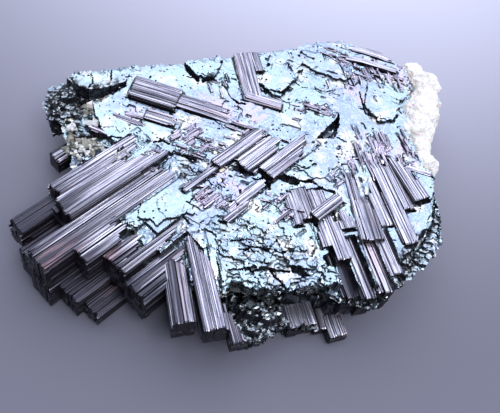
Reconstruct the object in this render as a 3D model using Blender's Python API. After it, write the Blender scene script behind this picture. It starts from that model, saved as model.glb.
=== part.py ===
"""Rutile on hematite: a flat hematite crystal carrying sheaves of rutile blades.

The blades lie along the plate's three directions, sixty degrees apart. White feldspar closes the far
right edge, and quartz and feldspar grains sit in a pocket at the left. The specimen lies on its
underside. Every table is in millimetres, X runs along the upper blades and Z is up.
"""
import math
import random
from collections import namedtuple

import bmesh
import bpy
from mathutils import Matrix, Vector

MM = 0.001
MIDDLE = (-0.4, 1.29)       # middle of the specimen's bounding box in the tables' axes
GAP = 0.3                   # clear space between neighbouring pieces
SKY = 9.0                   # height above every piece, to which a pocket in the face is open
FACE = 6.8                  # height of the plate's upper face
TERRACE = 3.3               # height of the low step along the front
FOOT = 0.4                  # clear height under everything but the plate
CHAMFER = 0.16              # flat along a blade's upper edges
LAMELLA = 1.15              # usual width of one lamella of a blade
END_STEP = 0.35             # how far lamellae of one blade end before or after each other
TOP_STEP = 0.16             # how much their upper faces differ in height
OVERLAP = 0.06              # how far lamellae of one blade run into each other
DIRECTIONS = {"A": 60.0, "B": 0.0, "C": -60.0}

# along and across are distances from the tables' origin along a direction and to its right.
# turn is the blade's own deviation from its direction, in degrees.
Blade = namedtuple("Blade", "direction along across top base turn", defaults=(3.6, 0.0))
Slab = namedtuple("Slab", "outline bottom top")
Lump = namedtuple("Lump", "x y z radius flatness", defaults=(0.9,))

LEFT_SHEAF = (
    Blade("A", (-21.9, -14.0), (-9.7, -7.8), 5.2, 2.2),
    Blade("A", (-17.3, -6.2), (-9.9, -8.1), 6.7),
    Blade("A", (-18.4, -5.5), (-8.2, -5.2), 7.6, 3.2),
    Blade("A", (-22.9, -6.5), (-5.3, -2.7), 6.7, 3.2),
    Blade("A", (-19.8, -14.2), (-2.8, -0.9), 6.9, 3.0),
    Blade("A", (-17.9, -13.6), (-1.0, 0.9), 5.9, 3.0),
    Blade("A", (-17.7, -10.4), (0.8, 1.9), 5.9, 3.0),
    Blade("A", (-17.9, -10.6), (1.8, 4.2), 5.1, 2.4),
    Blade("A", (-21.1, -15.6), (-9.4, -7.1), 3.8, FOOT),
    Blade("A", (-22.7, -15.6), (-7.2, -4.8), 4.3, FOOT),
    Blade("A", (-23.1, -15.6), (-4.9, -2.3), 3.9, FOOT),
    Blade("A", (-22.0, -15.6), (-2.4, 0.1), 3.5, FOOT),
    Blade("A", (-21.2, -15.6), (0.0, 2.0), 2.4, FOOT),
    Blade("A", (-17.6, -15.6), (1.9, 4.4), 3.6, FOOT),
)
CENTRE_BARS = (
    Blade("A", (-8.1, -2.4), (-1.6, -0.9), 6.95, 5.4),
    Blade("A", (-3.7, 3.9), (-2.1, -0.8), 7.35, 5.0),
    Blade("A", (-1.9, 3.9), (-0.3, 1.4), 7.5, 5.0),
    Blade("A", (-0.4, 7.2), (1.5, 3.6), 7.2, 5.0),
    Blade("A", (-1.2, 3.4), (-1.0, 1.7), 6.75, 5.2),
)
LOW_BARS = (
    Blade("A", (-5.2, -0.9), (2.6, 3.6), 7.0, 5.4),
    Blade("A", (-7.5, -3.6), (3.4, 4.2), 6.95, 5.4),
)
RIGHT_SHEAF = (
    Blade("C", (4.5, 8.6), (-3.0, -2.1), 6.95, 5.2),
    Blade("C", (4.3, 8.2), (-4.5, -2.9), 6.85, 5.2),
    Blade("C", (7.4, 11.5), (-5.2, -4.0), 7.0),
    Blade("C", (7.0, 13.1), (-6.6, -5.1), 6.9),
    Blade("C", (7.1, 10.0), (-8.1, -6.5), 7.1),
    Blade("C", (2.4, 11.6), (-9.9, -8.6), 7.0, 3.6, -7.0),
    Blade("C", (5.4, 11.8), (-10.8, -8.9), 7.2, 3.6, -5.0),
    Blade("C", (4.2, 10.3), (-12.4, -10.8), 6.8, 3.4),
    Blade("C", (1.4, 12.8), (-13.9, -12.3), 7.15, 3.4),
    Blade("C", (1.4, 8.7), (-16.9, -13.7), 7.2, 4.6, 1.5),
    Blade("C", (12.0, 16.6), (-6.2, -4.6), 6.1, 3.2),
    Blade("C", (11.0, 17.0), (-7.8, -6.1), 6.6, 3.2),
    Blade("C", (11.2, 16.8), (-9.7, -7.7), 6.2, 3.2),
    Blade("C", (11.2, 15.5), (-11.3, -9.6), 6.5, 3.6),
    Blade("A", (-0.5, 3.6), (8.7, 9.9), 7.4, 5.0, -3.0),
    Blade("B", (15.6, 19.2), (-5.2, -4.6), 6.9, 5.2),
)
FRONT_FAN = (
    Blade("C", (9.2, 16.2), (8.5, 10.7), 5.8, 3.2, -5.0),
    Blade("C", (8.7, 17.6), (7.3, 8.9), 7.0, 4.2, -2.0),
    Blade("C", (8.6, 12.6), (6.2, 7.4), 6.9, 4.2, -2.0),
    Blade("C", (12.0, 17.4), (6.6, 7.5), 6.0, 3.7, -2.0),
    Blade("C", (14.2, 18.5), (5.6, 6.8), 5.4, 3.5),
)
UPPER_BLADES = (
    Blade("B", (-14.2, -8.8), (-5.8, -2.8), 7.35, 5.0),
    Blade("B", (-9.2, -0.4), (-5.4, -3.5), 7.05, 5.0),
)
SECOND_BLADE = (Blade("B", (-11.7, -7.8), (-2.1, -0.7), 7.1, 5.2),)
ELBOW = (
    Blade("C", (-14.6, -7.7), (-3.7, -1.6), 7.15, 5.0, 2.0),
    Blade("B", (-2.9, 1.7), (-8.6, -7.3), 7.05, 5.0),
    Blade("C", (-14.7, -11.4), (-4.8, -3.6), 7.0, 5.2),
)
FAR_BLADE = (Blade("B", (5.0, 13.5), (-19.0, -17.9), 7.3, 5.2),)
RIM_BLADE = (Blade("B", (6.3, 12.9), (-21.2, -20.0), 7.0, 5.2),)
STUB = (Blade("A", (-14.2, -11.2), (-14.1, -12.7), 4.6, 2.6),)
FRONT_WALL = (
    Blade("C", (14.6, 17.2), (-2.8, 0.1), 2.4, FOOT),
    Blade("C", (15.2, 17.6), (-4.2, -2.6), 1.5, FOOT),
    Blade("C", (16.2, 18.7), (-5.6, -3.8), 1.9, FOOT),
)

BASE_SLAB = Slab((
    (-15.4, -8.6), (-16.4, -5.8), (-17.2, -3.4), (-18.6, -1.0), (-18.8, 1.6), (-16.4, 4.0),
    (-12.8, 6.2), (-9.0, 8.6), (-5.0, 11.6), (-1.0, 13.6), (2.4, 16.2), (6.0, 18.8), (10.0, 18.8),
    (13.2, 17.0), (15.2, 13.0), (16.6, 8.0), (17.6, 3.0), (17.6, -1.6), (16.0, -5.6), (13.8, -9.2),
    (12.4, -11.4), (11.2, -13.8), (7.8, -15.2), (6.4, -17.0), (4.6, -17.9), (2.6, -17.0),
    (0.4, -16.0), (-2.4, -16.2), (-4.4, -15.4),
), 0.0, TERRACE)
MIDDLE_SLAB = Slab((
    (-15.6, -9.0), (-16.6, -5.6), (-19.6, -1.8), (-20.4, 2.4), (-17.2, 4.8), (-13.0, 7.6),
    (-9.5, 9.8), (-5.0, 12.9), (-1.4, 15.2), (2.0, 17.8), (5.4, 20.4), (10.2, 20.4), (13.9, 18.8),
    (15.4, 15.0), (16.8, 9.0), (18.4, 4.0), (19.8, 0.6), (20.1, -2.8), (18.2, -6.4), (16.6, -9.8),
    (15.2, -11.5), (12.7, -12.0), (10.5, -11.6), (8.0, -11.8), (5.0, -12.4), (1.8, -13.2), (0.6, -15.2),
    (-3.0, -15.6), (-6.4, -14.2),
), TERRACE - 0.6, 5.5)
UPPER_SLAB = Slab((
    (-14.8, -9.4), (-15.4, -6.2), (-16.6, -4.4), (-19.0, -2.2), (-21.0, 1.6), (-20.7, 3.8),
    (-17.5, 5.3), (-16.3, 6.8), (-13.5, 8.4), (-10.1, 10.1), (-7.2, 12.2), (-4.8, 14.0),
    (-1.6, 15.9), (1.5, 18.3), (4.2, 20.4), (6.4, 21.4), (9.7, 21.3), (12.9, 20.8), (14.7, 19.8),
    (15.6, 17.0), (15.8, 13.0), (16.4, 9.0), (17.8, 6.4), (19.4, 4.8), (20.5, 2.1), (21.0, -0.2),
    (21.2, -2.4), (20.8, -4.2), (19.0, -7.0), (17.0, -9.8), (15.3, -11.8), (12.6, -12.2),
    (10.6, -11.8), (8.6, -12.6), (6.6, -13.5), (4.0, -14.2), (1.9, -14.1), (1.8, -15.5),
    (0.2, -15.8), (-3.4, -15.2), (-5.2, -13.4), (-9.4, -11.8),
), 4.9, FACE)
KNOB = Slab((
    (-22.0, 0.4), (-21.7, 2.0), (-20.7, 2.8), (-18.6, 1.4), (-18.3, -0.4), (-19.4, -2.0),
    (-20.5, -2.3), (-21.5, -1.2),
), 2.8, 6.3)
LEDGES = (
    Slab(((-20.4, 3.5), (-18.8, 2.0), (-16.8, 1.9), (-15.4, 3.2), (-14.9, 5.4), (-16.4, 6.1),
          (-19.4, 4.8)), 5.8, 7.15),
    Slab(((-9.6, 9.9), (-7.9, 8.9), (-6.2, 9.5), (-5.4, 11.0), (-5.0, 13.4), (-7.2, 11.7)), 5.8, 7.1),
    Slab(((-1.7, 10.6), (-0.8, 9.5), (1.0, 9.4), (1.8, 10.8), (2.6, 13.8), (1.8, 17.4),
          (-1.2, 15.6)), 5.8, 7.15),
    Slab(((2.6, 15.2), (4.6, 14.6), (7.8, 14.4), (8.6, 16.0), (8.0, 17.4), (4.2, 17.6)), 5.8, 7.05),
    Slab(((10.2, 12.2), (11.2, 10.4), (12.8, 10.0), (14.2, 10.9), (14.6, 14.6), (12.0, 16.6),
          (10.4, 15.4)), 5.8, 7.1),
    Slab(((8.2, 4.6), (9.6, 3.6), (10.0, 0.6), (7.6, -0.4), (4.4, 0.4), (5.2, 3.6)), 5.8, 7.0),
    Slab(((-8.4, -8.0), (-7.8, -10.8), (-5.8, -10.6), (-3.4, -8.4), (-4.4, -5.6), (-6.8, -5.2)),
         5.8, 7.05),
    Slab(((-1.8, -9.4), (0.8, -8.6), (3.6, -9.4), (5.6, -11.2), (4.0, -12.4), (0.6, -12.2)),
         5.8, 7.05),
    Slab(((6.4, -7.4), (8.0, -6.4), (8.8, -8.6), (9.0, -10.6), (6.8, -11.2), (5.6, -9.6)), 5.8, 7.1),
)
TERRACE_STEPS = (
    Slab(((2.9, -14.6), (5.6, -13.6), (7.4, -14.4), (6.6, -15.8), (3.4, -16.2)), 2.6, 4.3),
    Slab(((3.8, -15.8), (6.6, -15.4), (6.2, -16.6), (4.4, -17.0)), 2.6, 3.7),
)
PITS = (
    Slab(((6.3, 5.4), (6.9, 6.7), (7.4, 9.4), (7.8, 8.6), (7.5, 6.8), (7.1, 5.1)), 5.6, 8.0),
    Slab(((-10.4, 10.6), (-9.8, 9.2), (-7.6, 8.2), (-5.4, 7.7), (-5.4, 8.6), (-7.4, 8.8)), 5.7, 8.0),
    Slab(((-19.9, 2.2), (-18.6, 1.0), (-16.0, 1.1), (-16.3, 1.6), (-18.6, 1.7), (-19.8, 2.9)), 5.6, 8.0),
    Slab(((9.2, -8.6), (10.4, -8.2), (10.6, -9.8), (9.5, -10.0)), 5.4, 8.0),
    Slab(((1.4, -2.6), (2.8, -3.4), (3.4, -1.9), (5.4, -2.1), (5.2, -1.6), (3.0, -1.3)), 5.9, 8.0),
)
POCKET_HOLLOW = Slab((
    (-19.4, 0.4), (-17.4, 1.0), (-15.6, -0.6), (-13.0, -1.2), (-12.6, -3.4), (-14.4, -5.6),
    (-16.4, -6.6), (-18.4, -4.4), (-19.4, -1.6),
), 4.6, 8.0)

FELDSPAR = (
    Lump(15.5, 20.4, 5.6, 1.7), Lump(17.2, 18.9, 5.6, 2.1), Lump(17.5, 16.3, 5.4, 2.1),
    Lump(16.9, 13.7, 5.6, 2.6), Lump(16.9, 11.2, 5.6, 2.3), Lump(17.4, 8.9, 5.4, 1.8),
    Lump(18.3, 6.9, 5.4, 1.8),
)
POCKET_CRUST = (
    Lump(-17.0, -2.3, 5.2, 1.6, 0.8), Lump(-15.2, -2.0, 5.3, 1.5, 0.7),
    Lump(-15.4, -4.1, 5.2, 1.7, 0.75), Lump(-16.6, -4.6, 4.9, 1.4, 0.8),
    Lump(-13.9, -3.2, 5.5, 1.2, 0.7),
)
PALE_GRAIN = (Lump(-17.2, 0.7, 5.6, 1.0),)
CREAM_GRAIN = (Lump(-18.9, -1.5, 5.4, 0.75),)
CENTRE_GRAIN = (Lump(-1.7, -2.7, 5.7, 1.15),)

HEMATITE = ((0.42, 0.50, 0.58), 0.30, 0.9)
RUTILE = ((0.17, 0.14, 0.16), 0.32, 0.5)
WHITE_FELDSPAR = ((0.86, 0.85, 0.83), 0.65, 0.0)
POCKET_QUARTZ = ((0.62, 0.60, 0.54), 0.40, 0.0)
CREAM_FELDSPAR = ((0.84, 0.80, 0.72), 0.60, 0.0)


def clear_scene():
    """Removes every object of the open scene."""
    for thing in list(bpy.data.objects):
        bpy.data.objects.remove(thing, do_unlink=True)


def new_collection(name):
    group = bpy.data.collections.new(name)
    bpy.context.scene.collection.children.link(group)
    return group


def add_object(name, bm, group):
    """Wraps a bmesh in millimetres as an object in metres about the specimen's middle."""
    shift = Matrix.Translation((-MIDDLE[0], -MIDDLE[1], 0.0))
    bm.transform(Matrix.Scale(MM, 4) @ shift)
    bmesh.ops.recalc_face_normals(bm, faces=bm.faces)
    mesh = bpy.data.meshes.new(name)
    bm.to_mesh(mesh)
    bm.free()
    thing = bpy.data.objects.new(name, mesh)
    group.objects.link(thing)
    return thing


def blade_lamellae(blade, seed):
    """Splits a blade across its width into lamellae with uneven tops and ends."""
    dice = random.Random(seed)
    width = blade.across[1] - blade.across[0]
    count = max(1, round(width / LAMELLA))
    for k in range(count):
        low = blade.across[0] + width * k / count - (OVERLAP if k else 0.0)
        high = blade.across[0] + width * (k + 1) / count
        start = blade.along[0] + END_STEP * dice.random()
        end = blade.along[1] - END_STEP * dice.random()
        top = blade.top - TOP_STEP * dice.random()
        base = blade.base + OVERLAP * dice.random()
        yield blade._replace(along=(start, end), across=(low, high), top=top, base=base)


def grown(blade):
    """The space of a blade in the piece around it, open above where the blade shows in its face."""
    along, across = [(low - GAP, high + GAP) for low, high in (blade.along, blade.across)]
    top = SKY if blade.top > UPPER_SLAB.bottom else blade.top + GAP
    return blade._replace(along=along, across=across, top=top, base=blade.base - GAP)


def blade_block(blade, chamfer):
    """A straight block along the blade's direction, with its upper edges chamfered."""
    bm = bmesh.new()
    bmesh.ops.create_cube(bm, size=1.0)
    lengths = [high - low for low, high in (blade.along, blade.across)]
    bmesh.ops.scale(bm, vec=(*lengths, blade.top - blade.base), verts=bm.verts)
    if chamfer:
        upper = [edge for edge in bm.edges if all(v.co.z > 0 for v in edge.verts)]
        bmesh.ops.bevel(bm, geom=upper, offset=chamfer, segments=1, affect="EDGES")
    centre = Vector((sum(blade.along) / 2, -sum(blade.across) / 2, (blade.top + blade.base) / 2))
    own_turn = Matrix.Rotation(math.radians(blade.turn), 4, "Z")
    heading = Matrix.Rotation(math.radians(DIRECTIONS[blade.direction]), 4, "Z")
    bm.transform(heading @ Matrix.Translation(centre) @ own_turn)
    return bm


def slab_object(name, slab, group):
    """A flat outline as a filled curve, turned into a mesh with its caps welded."""
    curve = bpy.data.curves.new(name, "CURVE")
    curve.dimensions = "2D"
    curve.fill_mode = "BOTH"
    curve.extrude = (slab.top - slab.bottom) / 2
    spline = curve.splines.new("POLY")
    spline.points.add(len(slab.outline) - 1)
    for point, (x, y) in zip(spline.points, slab.outline):
        point.co = (x, y, 0.0, 1.0)
    spline.use_cyclic_u = True
    flat = bpy.data.objects.new(name + "_outline", curve)
    group.objects.link(flat)
    bm = bmesh.new()
    bm.from_mesh(flat.evaluated_get(bpy.context.evaluated_depsgraph_get()).to_mesh())
    bpy.data.objects.remove(flat, do_unlink=True)
    bmesh.ops.remove_doubles(bm, verts=bm.verts, dist=0.0001)
    bm.transform(Matrix.Translation((0.0, 0.0, (slab.top + slab.bottom) / 2)))
    return add_object(name, bm, group)


def lump_ball(lump, seed, grow):
    """A rough rounded lump: a ball with its vertices pushed in and out."""
    dice = random.Random(seed)
    bm = bmesh.new()
    bmesh.ops.create_icosphere(bm, subdivisions=2, radius=1.0)
    for vert in bm.verts:
        vert.co *= (0.86 + 0.14 * dice.random()) * lump.radius + 1.15 * grow
        vert.co.z *= lump.flatness
    bm.transform(Matrix.Translation((lump.x, lump.y, lump.z)))
    return bm


def cluster_pieces(name, table, group):
    """Makes the blocks or balls of one table."""
    pieces = []
    for row, item in enumerate(table):
        if isinstance(item, Lump):
            pieces.append(add_object(f"{name}_{row}", lump_ball(item, row, 0.0), group))
        else:
            for k, part in enumerate(blade_lamellae(item, row)):
                pieces.append(add_object(f"{name}_{row}_{k}", blade_block(part, CHAMFER), group))
    return pieces


def cluster_space(name, table, group):
    """Makes the spaces that one table's blocks or balls need in their neighbours."""
    for row, item in enumerate(table):
        is_lump = isinstance(item, Lump)
        shape = lump_ball(item, row, GAP) if is_lump else blade_block(grown(item), 0.0)
        add_object(f"{name}_space{row}", shape, group)


def finish_object(thing, name, look, group):
    """Names the piece, moves it to the specimen's collection and gives it its material."""
    colour, roughness, metallic = look
    thing.name = name
    thing.data.name = name
    material = bpy.data.materials.new(name + "_material")
    material.use_nodes = True
    shader = material.node_tree.nodes["Principled BSDF"]
    shader.inputs["Base Color"].default_value = (*colour, 1.0)
    shader.inputs["Roughness"].default_value = roughness
    shader.inputs["Metallic"].default_value = metallic
    thing.data.materials.append(material)
    for owner in list(thing.users_collection):
        owner.objects.unlink(thing)
    group.objects.link(thing)


def boolean(thing, operation, group):
    """Joins or cuts a piece with every solid of a collection."""
    step = thing.modifiers.new(operation.lower(), "BOOLEAN")
    step.operation = operation
    step.solver = "EXACT"
    step.operand_type = "COLLECTION"
    step.collection = group


def hide_helpers(group):
    for thing in group.all_objects:
        thing.hide_render = True
        thing.display_type = "WIRE"


def build_cluster(name, table, look, specimen, helpers, cut_by=()):
    """One node: its blocks or balls joined in one solid, with room left for its neighbours."""
    parts = bpy.data.collections.new(name + "_parts")
    helpers.children.link(parts)
    first, *rest = cluster_pieces(name, table, parts)
    finish_object(first, name, look, specimen)
    if rest:
        boolean(first, "UNION", parts)
    for space in cut_by:
        boolean(first, "DIFFERENCE", space)
    return first


def plate_body(specimen, helpers):
    """The hematite plate's slabs, knob and ledges in one solid, and the shapes of its pits."""
    joined = bpy.data.collections.new("plate_parts")
    hollows = bpy.data.collections.new("plate_hollows")
    helpers.children.link(joined)
    helpers.children.link(hollows)
    plate = slab_object("base", BASE_SLAB, joined)
    finish_object(plate, "hematite_plate", HEMATITE, specimen)
    for k, slab in enumerate((MIDDLE_SLAB, UPPER_SLAB, KNOB, *LEDGES, *TERRACE_STEPS)):
        slab_object(f"plate_slab{k}", slab, joined)
    for k, slab in enumerate((*PITS, POCKET_HOLLOW)):
        slab_object(f"plate_pit{k}", slab, hollows)
    boolean(plate, "UNION", joined)
    return plate, hollows


def build_specimen():
    clear_scene()
    specimen = new_collection("rutile_specimen")
    helpers = new_collection("construction")
    plate, hollows = plate_body(specimen, helpers)
    spaces = {}

    def cluster(name, table, look, cut_by=()):
        space = bpy.data.collections.new(name + "_space")
        hollows.children.link(space)
        cluster_space(name, table, space)
        spaces[name] = space
        build_cluster(name, table, look, specimen, helpers, [spaces[n] for n in cut_by])

    cluster("rutile_left_sheaf", LEFT_SHEAF, RUTILE)
    cluster("rutile_centre_bars", CENTRE_BARS, RUTILE)
    cluster("rutile_low_bars", LOW_BARS, RUTILE, ("rutile_centre_bars",))
    cluster("rutile_right_sheaf", RIGHT_SHEAF, RUTILE)
    cluster("rutile_front_fan", FRONT_FAN, RUTILE, ("rutile_left_sheaf",))
    cluster("rutile_upper_blades", UPPER_BLADES, RUTILE, ("rutile_centre_bars",))
    cluster("rutile_second_blade", SECOND_BLADE, RUTILE)
    cluster("rutile_elbow", ELBOW, RUTILE)
    cluster("rutile_far_blade", FAR_BLADE, RUTILE)
    cluster("rutile_rim_blade", RIM_BLADE, RUTILE)
    cluster("rutile_stub", STUB, RUTILE)
    cluster("rutile_front_wall", FRONT_WALL, RUTILE)
    cluster("feldspar_lump", FELDSPAR, WHITE_FELDSPAR, ("rutile_right_sheaf",))
    cluster("quartz_pocket", POCKET_CRUST, POCKET_QUARTZ, ("rutile_left_sheaf", "rutile_stub"))
    cluster("pale_grain", PALE_GRAIN, WHITE_FELDSPAR, ("quartz_pocket",))
    cluster("cream_grain", CREAM_GRAIN, CREAM_FELDSPAR, ("quartz_pocket",))
    cluster("centre_grain", CENTRE_GRAIN, CREAM_FELDSPAR, ("rutile_centre_bars",))
    boolean(plate, "DIFFERENCE", hollows)
    hide_helpers(helpers)


build_specimen()
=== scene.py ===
"""Looks of a rutile specimen: striated rutile blades on a flat hematite crystal, with feldspar.

Every rutile blade is a bundle of thin rods. The hematite crystal is three steps and a knob, each with
a fine relief above and layered walls. Tables are in millimetres in the CAD model's own axes.
"""
import math
import random
from collections import namedtuple

import bmesh
import bpy
import numpy as np
from mathutils import Matrix, Vector
from mathutils import noise as solid_noise


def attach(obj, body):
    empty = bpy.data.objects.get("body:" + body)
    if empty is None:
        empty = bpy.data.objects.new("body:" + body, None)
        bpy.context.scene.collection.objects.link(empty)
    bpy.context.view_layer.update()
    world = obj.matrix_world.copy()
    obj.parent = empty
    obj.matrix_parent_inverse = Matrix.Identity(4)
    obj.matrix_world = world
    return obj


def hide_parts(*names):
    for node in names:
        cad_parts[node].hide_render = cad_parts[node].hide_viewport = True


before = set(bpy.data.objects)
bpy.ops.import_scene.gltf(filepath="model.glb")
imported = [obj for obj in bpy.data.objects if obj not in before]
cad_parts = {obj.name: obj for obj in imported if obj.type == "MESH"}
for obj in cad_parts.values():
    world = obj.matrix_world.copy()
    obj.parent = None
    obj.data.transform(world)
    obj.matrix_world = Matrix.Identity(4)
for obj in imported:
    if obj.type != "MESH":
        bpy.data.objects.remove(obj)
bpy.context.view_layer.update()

MM = 0.001
MIDDLE = (-0.4, 1.29)       # middle of the specimen's bounding box in the tables' axes
FACE = 6.8                  # height of the crystal's upper face
LOWEST_CUT = 4.9            # blades lower than this lie under the crystal's upper step
FOOT = 0.4                  # clear height under everything but the plate
STROKE_COUNT = 70           # short dark breaks on the upper face
LOW_BLADE_SHADE = ((4.4, 5.4, 6.4), (1.7, 1.1, 0.0))     # painted shade: how much is added to the rods' tone by a blade's top, more for lower blades
DIRECTIONS = {"A": 60.0, "B": 0.0, "C": -60.0}

# A blade is a rectangle along and across its direction, from base to top, with a turn of its own.
Blade = namedtuple("Blade", "direction along across top base turn", defaults=(3.6, 0.0))
# The blades of a growth share their shape. Pairs are for the start and the finish, or for the low and
# the high side: how ragged and how pointed the ends are, how long a part of each is sunk under the
# face, and the widths of the bevels. Then come how uneven and how wide the rods are, where across the
# blade its point lies, the length over which painted shade darkens its start, and whether low rods are
# spared the painted shade of low blades.
Growth = namedtuple("Growth", "blades ragged point sunk bevel uneven widths axis dusk lit",
                    defaults=((0, 0), (0.15, 0.15), 0.5, (0.05, 0.34), (0.3, 0.7), 0.0, False))
Slab = namedtuple("Slab", "outline bottom top")
Level = namedtuple("Level", "outline height")       # a part of a face at a height of its own
Lump = namedtuple("Lump", "x y z radius")
Crumbs = namedtuple("Crumbs", "x y z spread count sizes tones")     # tone 0 is dark, 1 is light
Field = namedtuple("Field", "x y count ways lengths widths")        # ways are keys of DIRECTIONS

# ---- tables of the blades

LEFT_SHEAF = Growth((
    Blade("A", (-21.9, -14.0), (-9.7, -7.8), 5.2, 2.2),
    Blade("A", (-17.3, -6.4), (-9.8, -8.0), 6.7),
    Blade("A", (-22.9, -6.5), (-5.3, -2.7), 6.7, 3.2),
    Blade("A", (-19.8, -14.2), (-2.8, -0.9), 6.9, 3.0),
    Blade("A", (-21.1, -15.6), (-9.4, -7.1), 3.8, FOOT),
    Blade("A", (-22.7, -15.6), (-7.2, -4.8), 4.3, FOOT),
    Blade("A", (-23.1, -15.6), (-4.9, -2.3), 3.9, FOOT),
    Blade("A", (-22.0, -15.6), (-2.4, 0.1), 3.5, FOOT),
    Blade("A", (-21.2, -15.6), (0.0, 2.0), 2.4, FOOT),
    Blade("A", (-17.6, -15.6), (1.9, 4.4), 3.6, FOOT),
), ragged=(0.35, 2.0), point=(0, 1.4), bevel=(0.15, 0.2), uneven=0.75, widths=(0.05, 0.3), dusk=3.0)
MAIN_BLADE = Growth((
    Blade("A", (-18.4, -5.9), (-7.7, -5.2), 7.5, 3.2),
), ragged=(0.3, 0.9), point=(0.15, 3.4), bevel=(0.15, 0.2), uneven=0.6, widths=(0.05, 0.3),
    axis=(0.85, 0.98), dusk=2.0)
LOWER_LEFT_SHEAF = Growth((
    Blade("A", (-18.1, -13.0), (-1.0, 0.9), 6.3, 3.0),
    Blade("A", (-18.0, -9.9), (0.7, 1.9), 6.4, 3.0),
    Blade("A", (-18.3, -10.8), (2.3, 4.9), 6.0, 2.4),
), ragged=(0.3, 1.2), sunk=(0, 0.6), point=(0.1, 2.4), bevel=(0.2, 0.3), uneven=0.75,
    widths=(0.05, 0.28), axis=(0.2, 0.4), dusk=1.5)
CENTRE_BARS = Growth((
    Blade("A", (-8.1, -2.4), (-1.6, -0.9), 6.95, 5.4),
    Blade("A", (-3.7, 3.9), (-2.1, -0.8), 7.35, 5.0),
    Blade("A", (-1.9, 3.9), (-0.3, 1.4), 7.5, 5.0),
    Blade("A", (-1.2, 3.4), (-1.0, 1.7), 6.75, 5.2),
), ragged=(0.12, 1.0), point=(0.2, 1.0), bevel=(0.12, 0.12), widths=(0.05, 0.32))
LAST_BAR = Growth((
    Blade("A", (-0.4, 7.2), (1.5, 3.5), 7.15, 5.0),
), ragged=(0.12, 0.6), sunk=(0, 0.8), point=(0.1, 2.0), bevel=(0.12, 0.12), widths=(0.05, 0.32),
    axis=(0.02, 0.15))
LOW_BARS = Growth((
    Blade("A", (-5.2, -0.9), (2.6, 3.6), 7.0, 5.4),
    Blade("A", (-7.5, -3.6), (3.4, 4.2), 6.95, 5.4),
), ragged=(0.12, 1.0), point=(0.2, 1.2), bevel=(0.12, 0.12), widths=(0.05, 0.3))
CUT_BUNDLE = Growth((
    Blade("C", (4.7, 8.7), (-3.1, -2.1), 6.95, 5.2),
    Blade("C", (4.3, 8.2), (-4.6, -3.0), 6.9, 5.2),
    Blade("C", (4.7, 7.8), (-6.3, -4.6), 6.8, 5.2),
), ragged=(0.25, 0.3), sunk=(0.3, 0), point=(0.2, 0.1), uneven=0.9, widths=(0.05, 0.4))
RIGHT_SHEAF = Growth((
    Blade("C", (7.4, 11.5), (-5.2, -4.0), 7.0),
    Blade("C", (7.0, 13.1), (-6.6, -5.1), 6.9),
    Blade("C", (7.1, 10.0), (-8.1, -6.5), 7.1),
    Blade("C", (2.4, 11.6), (-9.9, -8.6), 7.0, 3.6, -7.0),
    Blade("C", (5.4, 11.8), (-10.8, -8.9), 7.2, 3.6, -5.0),
    Blade("C", (4.2, 10.3), (-12.4, -10.8), 6.8, 3.4),
    Blade("C", (1.4, 12.8), (-13.9, -12.3), 7.15, 3.4),
    Blade("C", (1.4, 9.0), (-15.0, -13.7), 7.1, 4.6, 1.5),
), ragged=(0.8, 0.2), sunk=(2.2, 0), point=(2.6, 0.05), bevel=(0.3, 0.15), uneven=0.9,
    widths=(0.05, 0.5))
TOP_RIGHT_BLADE = Growth((
    Blade("C", (1.6, 8.3), (-16.8, -14.8), 7.3, 4.6, 8.0),
), ragged=(0.3, 0.1), sunk=(1.0, 0), point=(4.0, 0.1), bevel=(0.2, 0.15), uneven=0.7,
    widths=(0.05, 0.5), axis=(0.75, 0.95))
LOWER_RIGHT_SHEAF = Growth((
    Blade("C", (11.2, 16.8), (-6.2, -4.7), 6.1, 2.4),
    Blade("C", (10.6, 17.2), (-7.8, -6.3), 6.4, 2.4),
    Blade("C", (10.8, 17.0), (-9.7, -8.1), 6.3, 2.4),
    Blade("C", (10.4, 15.6), (-11.3, -9.7), 6.5, 3.6),
), ragged=(0, 0.3), point=(0, 0.15), bevel=(0.4, 0.3), uneven=1.5, widths=(0.05, 0.55))
CROSS_BLADE = Growth((
    Blade("A", (-0.5, 3.6), (8.7, 9.9), 7.4, 5.0, -3.0),
), ragged=(0.1, 0.5), point=(0.1, 0.5), uneven=0.7, widths=(0.05, 0.4))
PINK_BLADE = Growth((
    Blade("B", (15.6, 19.2), (-5.2, -4.6), 6.9, 5.2),
), ragged=(0.2, 0.2), sunk=(0.8, 0), point=(0.8, 0.4), bevel=(0.1, 0.1))
FRONT_FAN = Growth((
    Blade("C", (9.5, 16.05), (9.0, 11.1), 6.2, 3.2, -4.0),
), ragged=(0.4, 0.15), point=(1.0, 0.1), bevel=(0.45, 0.3), uneven=1.0, widths=(0.05, 0.3))
PINK_FAN = Growth((
    Blade("C", (7.7, 17.45), (6.8, 8.7), 7.0, 4.2, -2.0),
    Blade("C", (9.4, 12.9), (6.1, 7.3), 6.9, 4.2, -2.0),
    Blade("C", (12.0, 17.4), (6.4, 7.3), 6.0, 3.7, -2.0),
    Blade("C", (14.2, 18.5), (5.4, 6.6), 5.4, 3.5),
), ragged=(0.4, 0.25), sunk=(0.4, 0), point=(3.0, 0.1), bevel=(0.3, 0.3), uneven=0.9,
    widths=(0.05, 0.26), axis=(0.75, 0.95))
UPPER_BLADES = Growth((
    Blade("B", (-14.2, -8.8), (-5.8, -2.8), 7.35, 5.0),
), ragged=(0.1, 0.2), point=(0.12, 0.1), uneven=0.8, widths=(0.05, 0.32), axis=(0, 0.1))
FADING_BLADE = Growth((
    Blade("B", (-9.2, -2.4), (-5.4, -3.5), 7.05, 5.0),
), ragged=(0.2, 2.2), sunk=(0, 3.8), point=(0.1, 1.5), bevel=(0.12, 0.12), uneven=0.6,
    widths=(0.06, 0.5))
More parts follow.
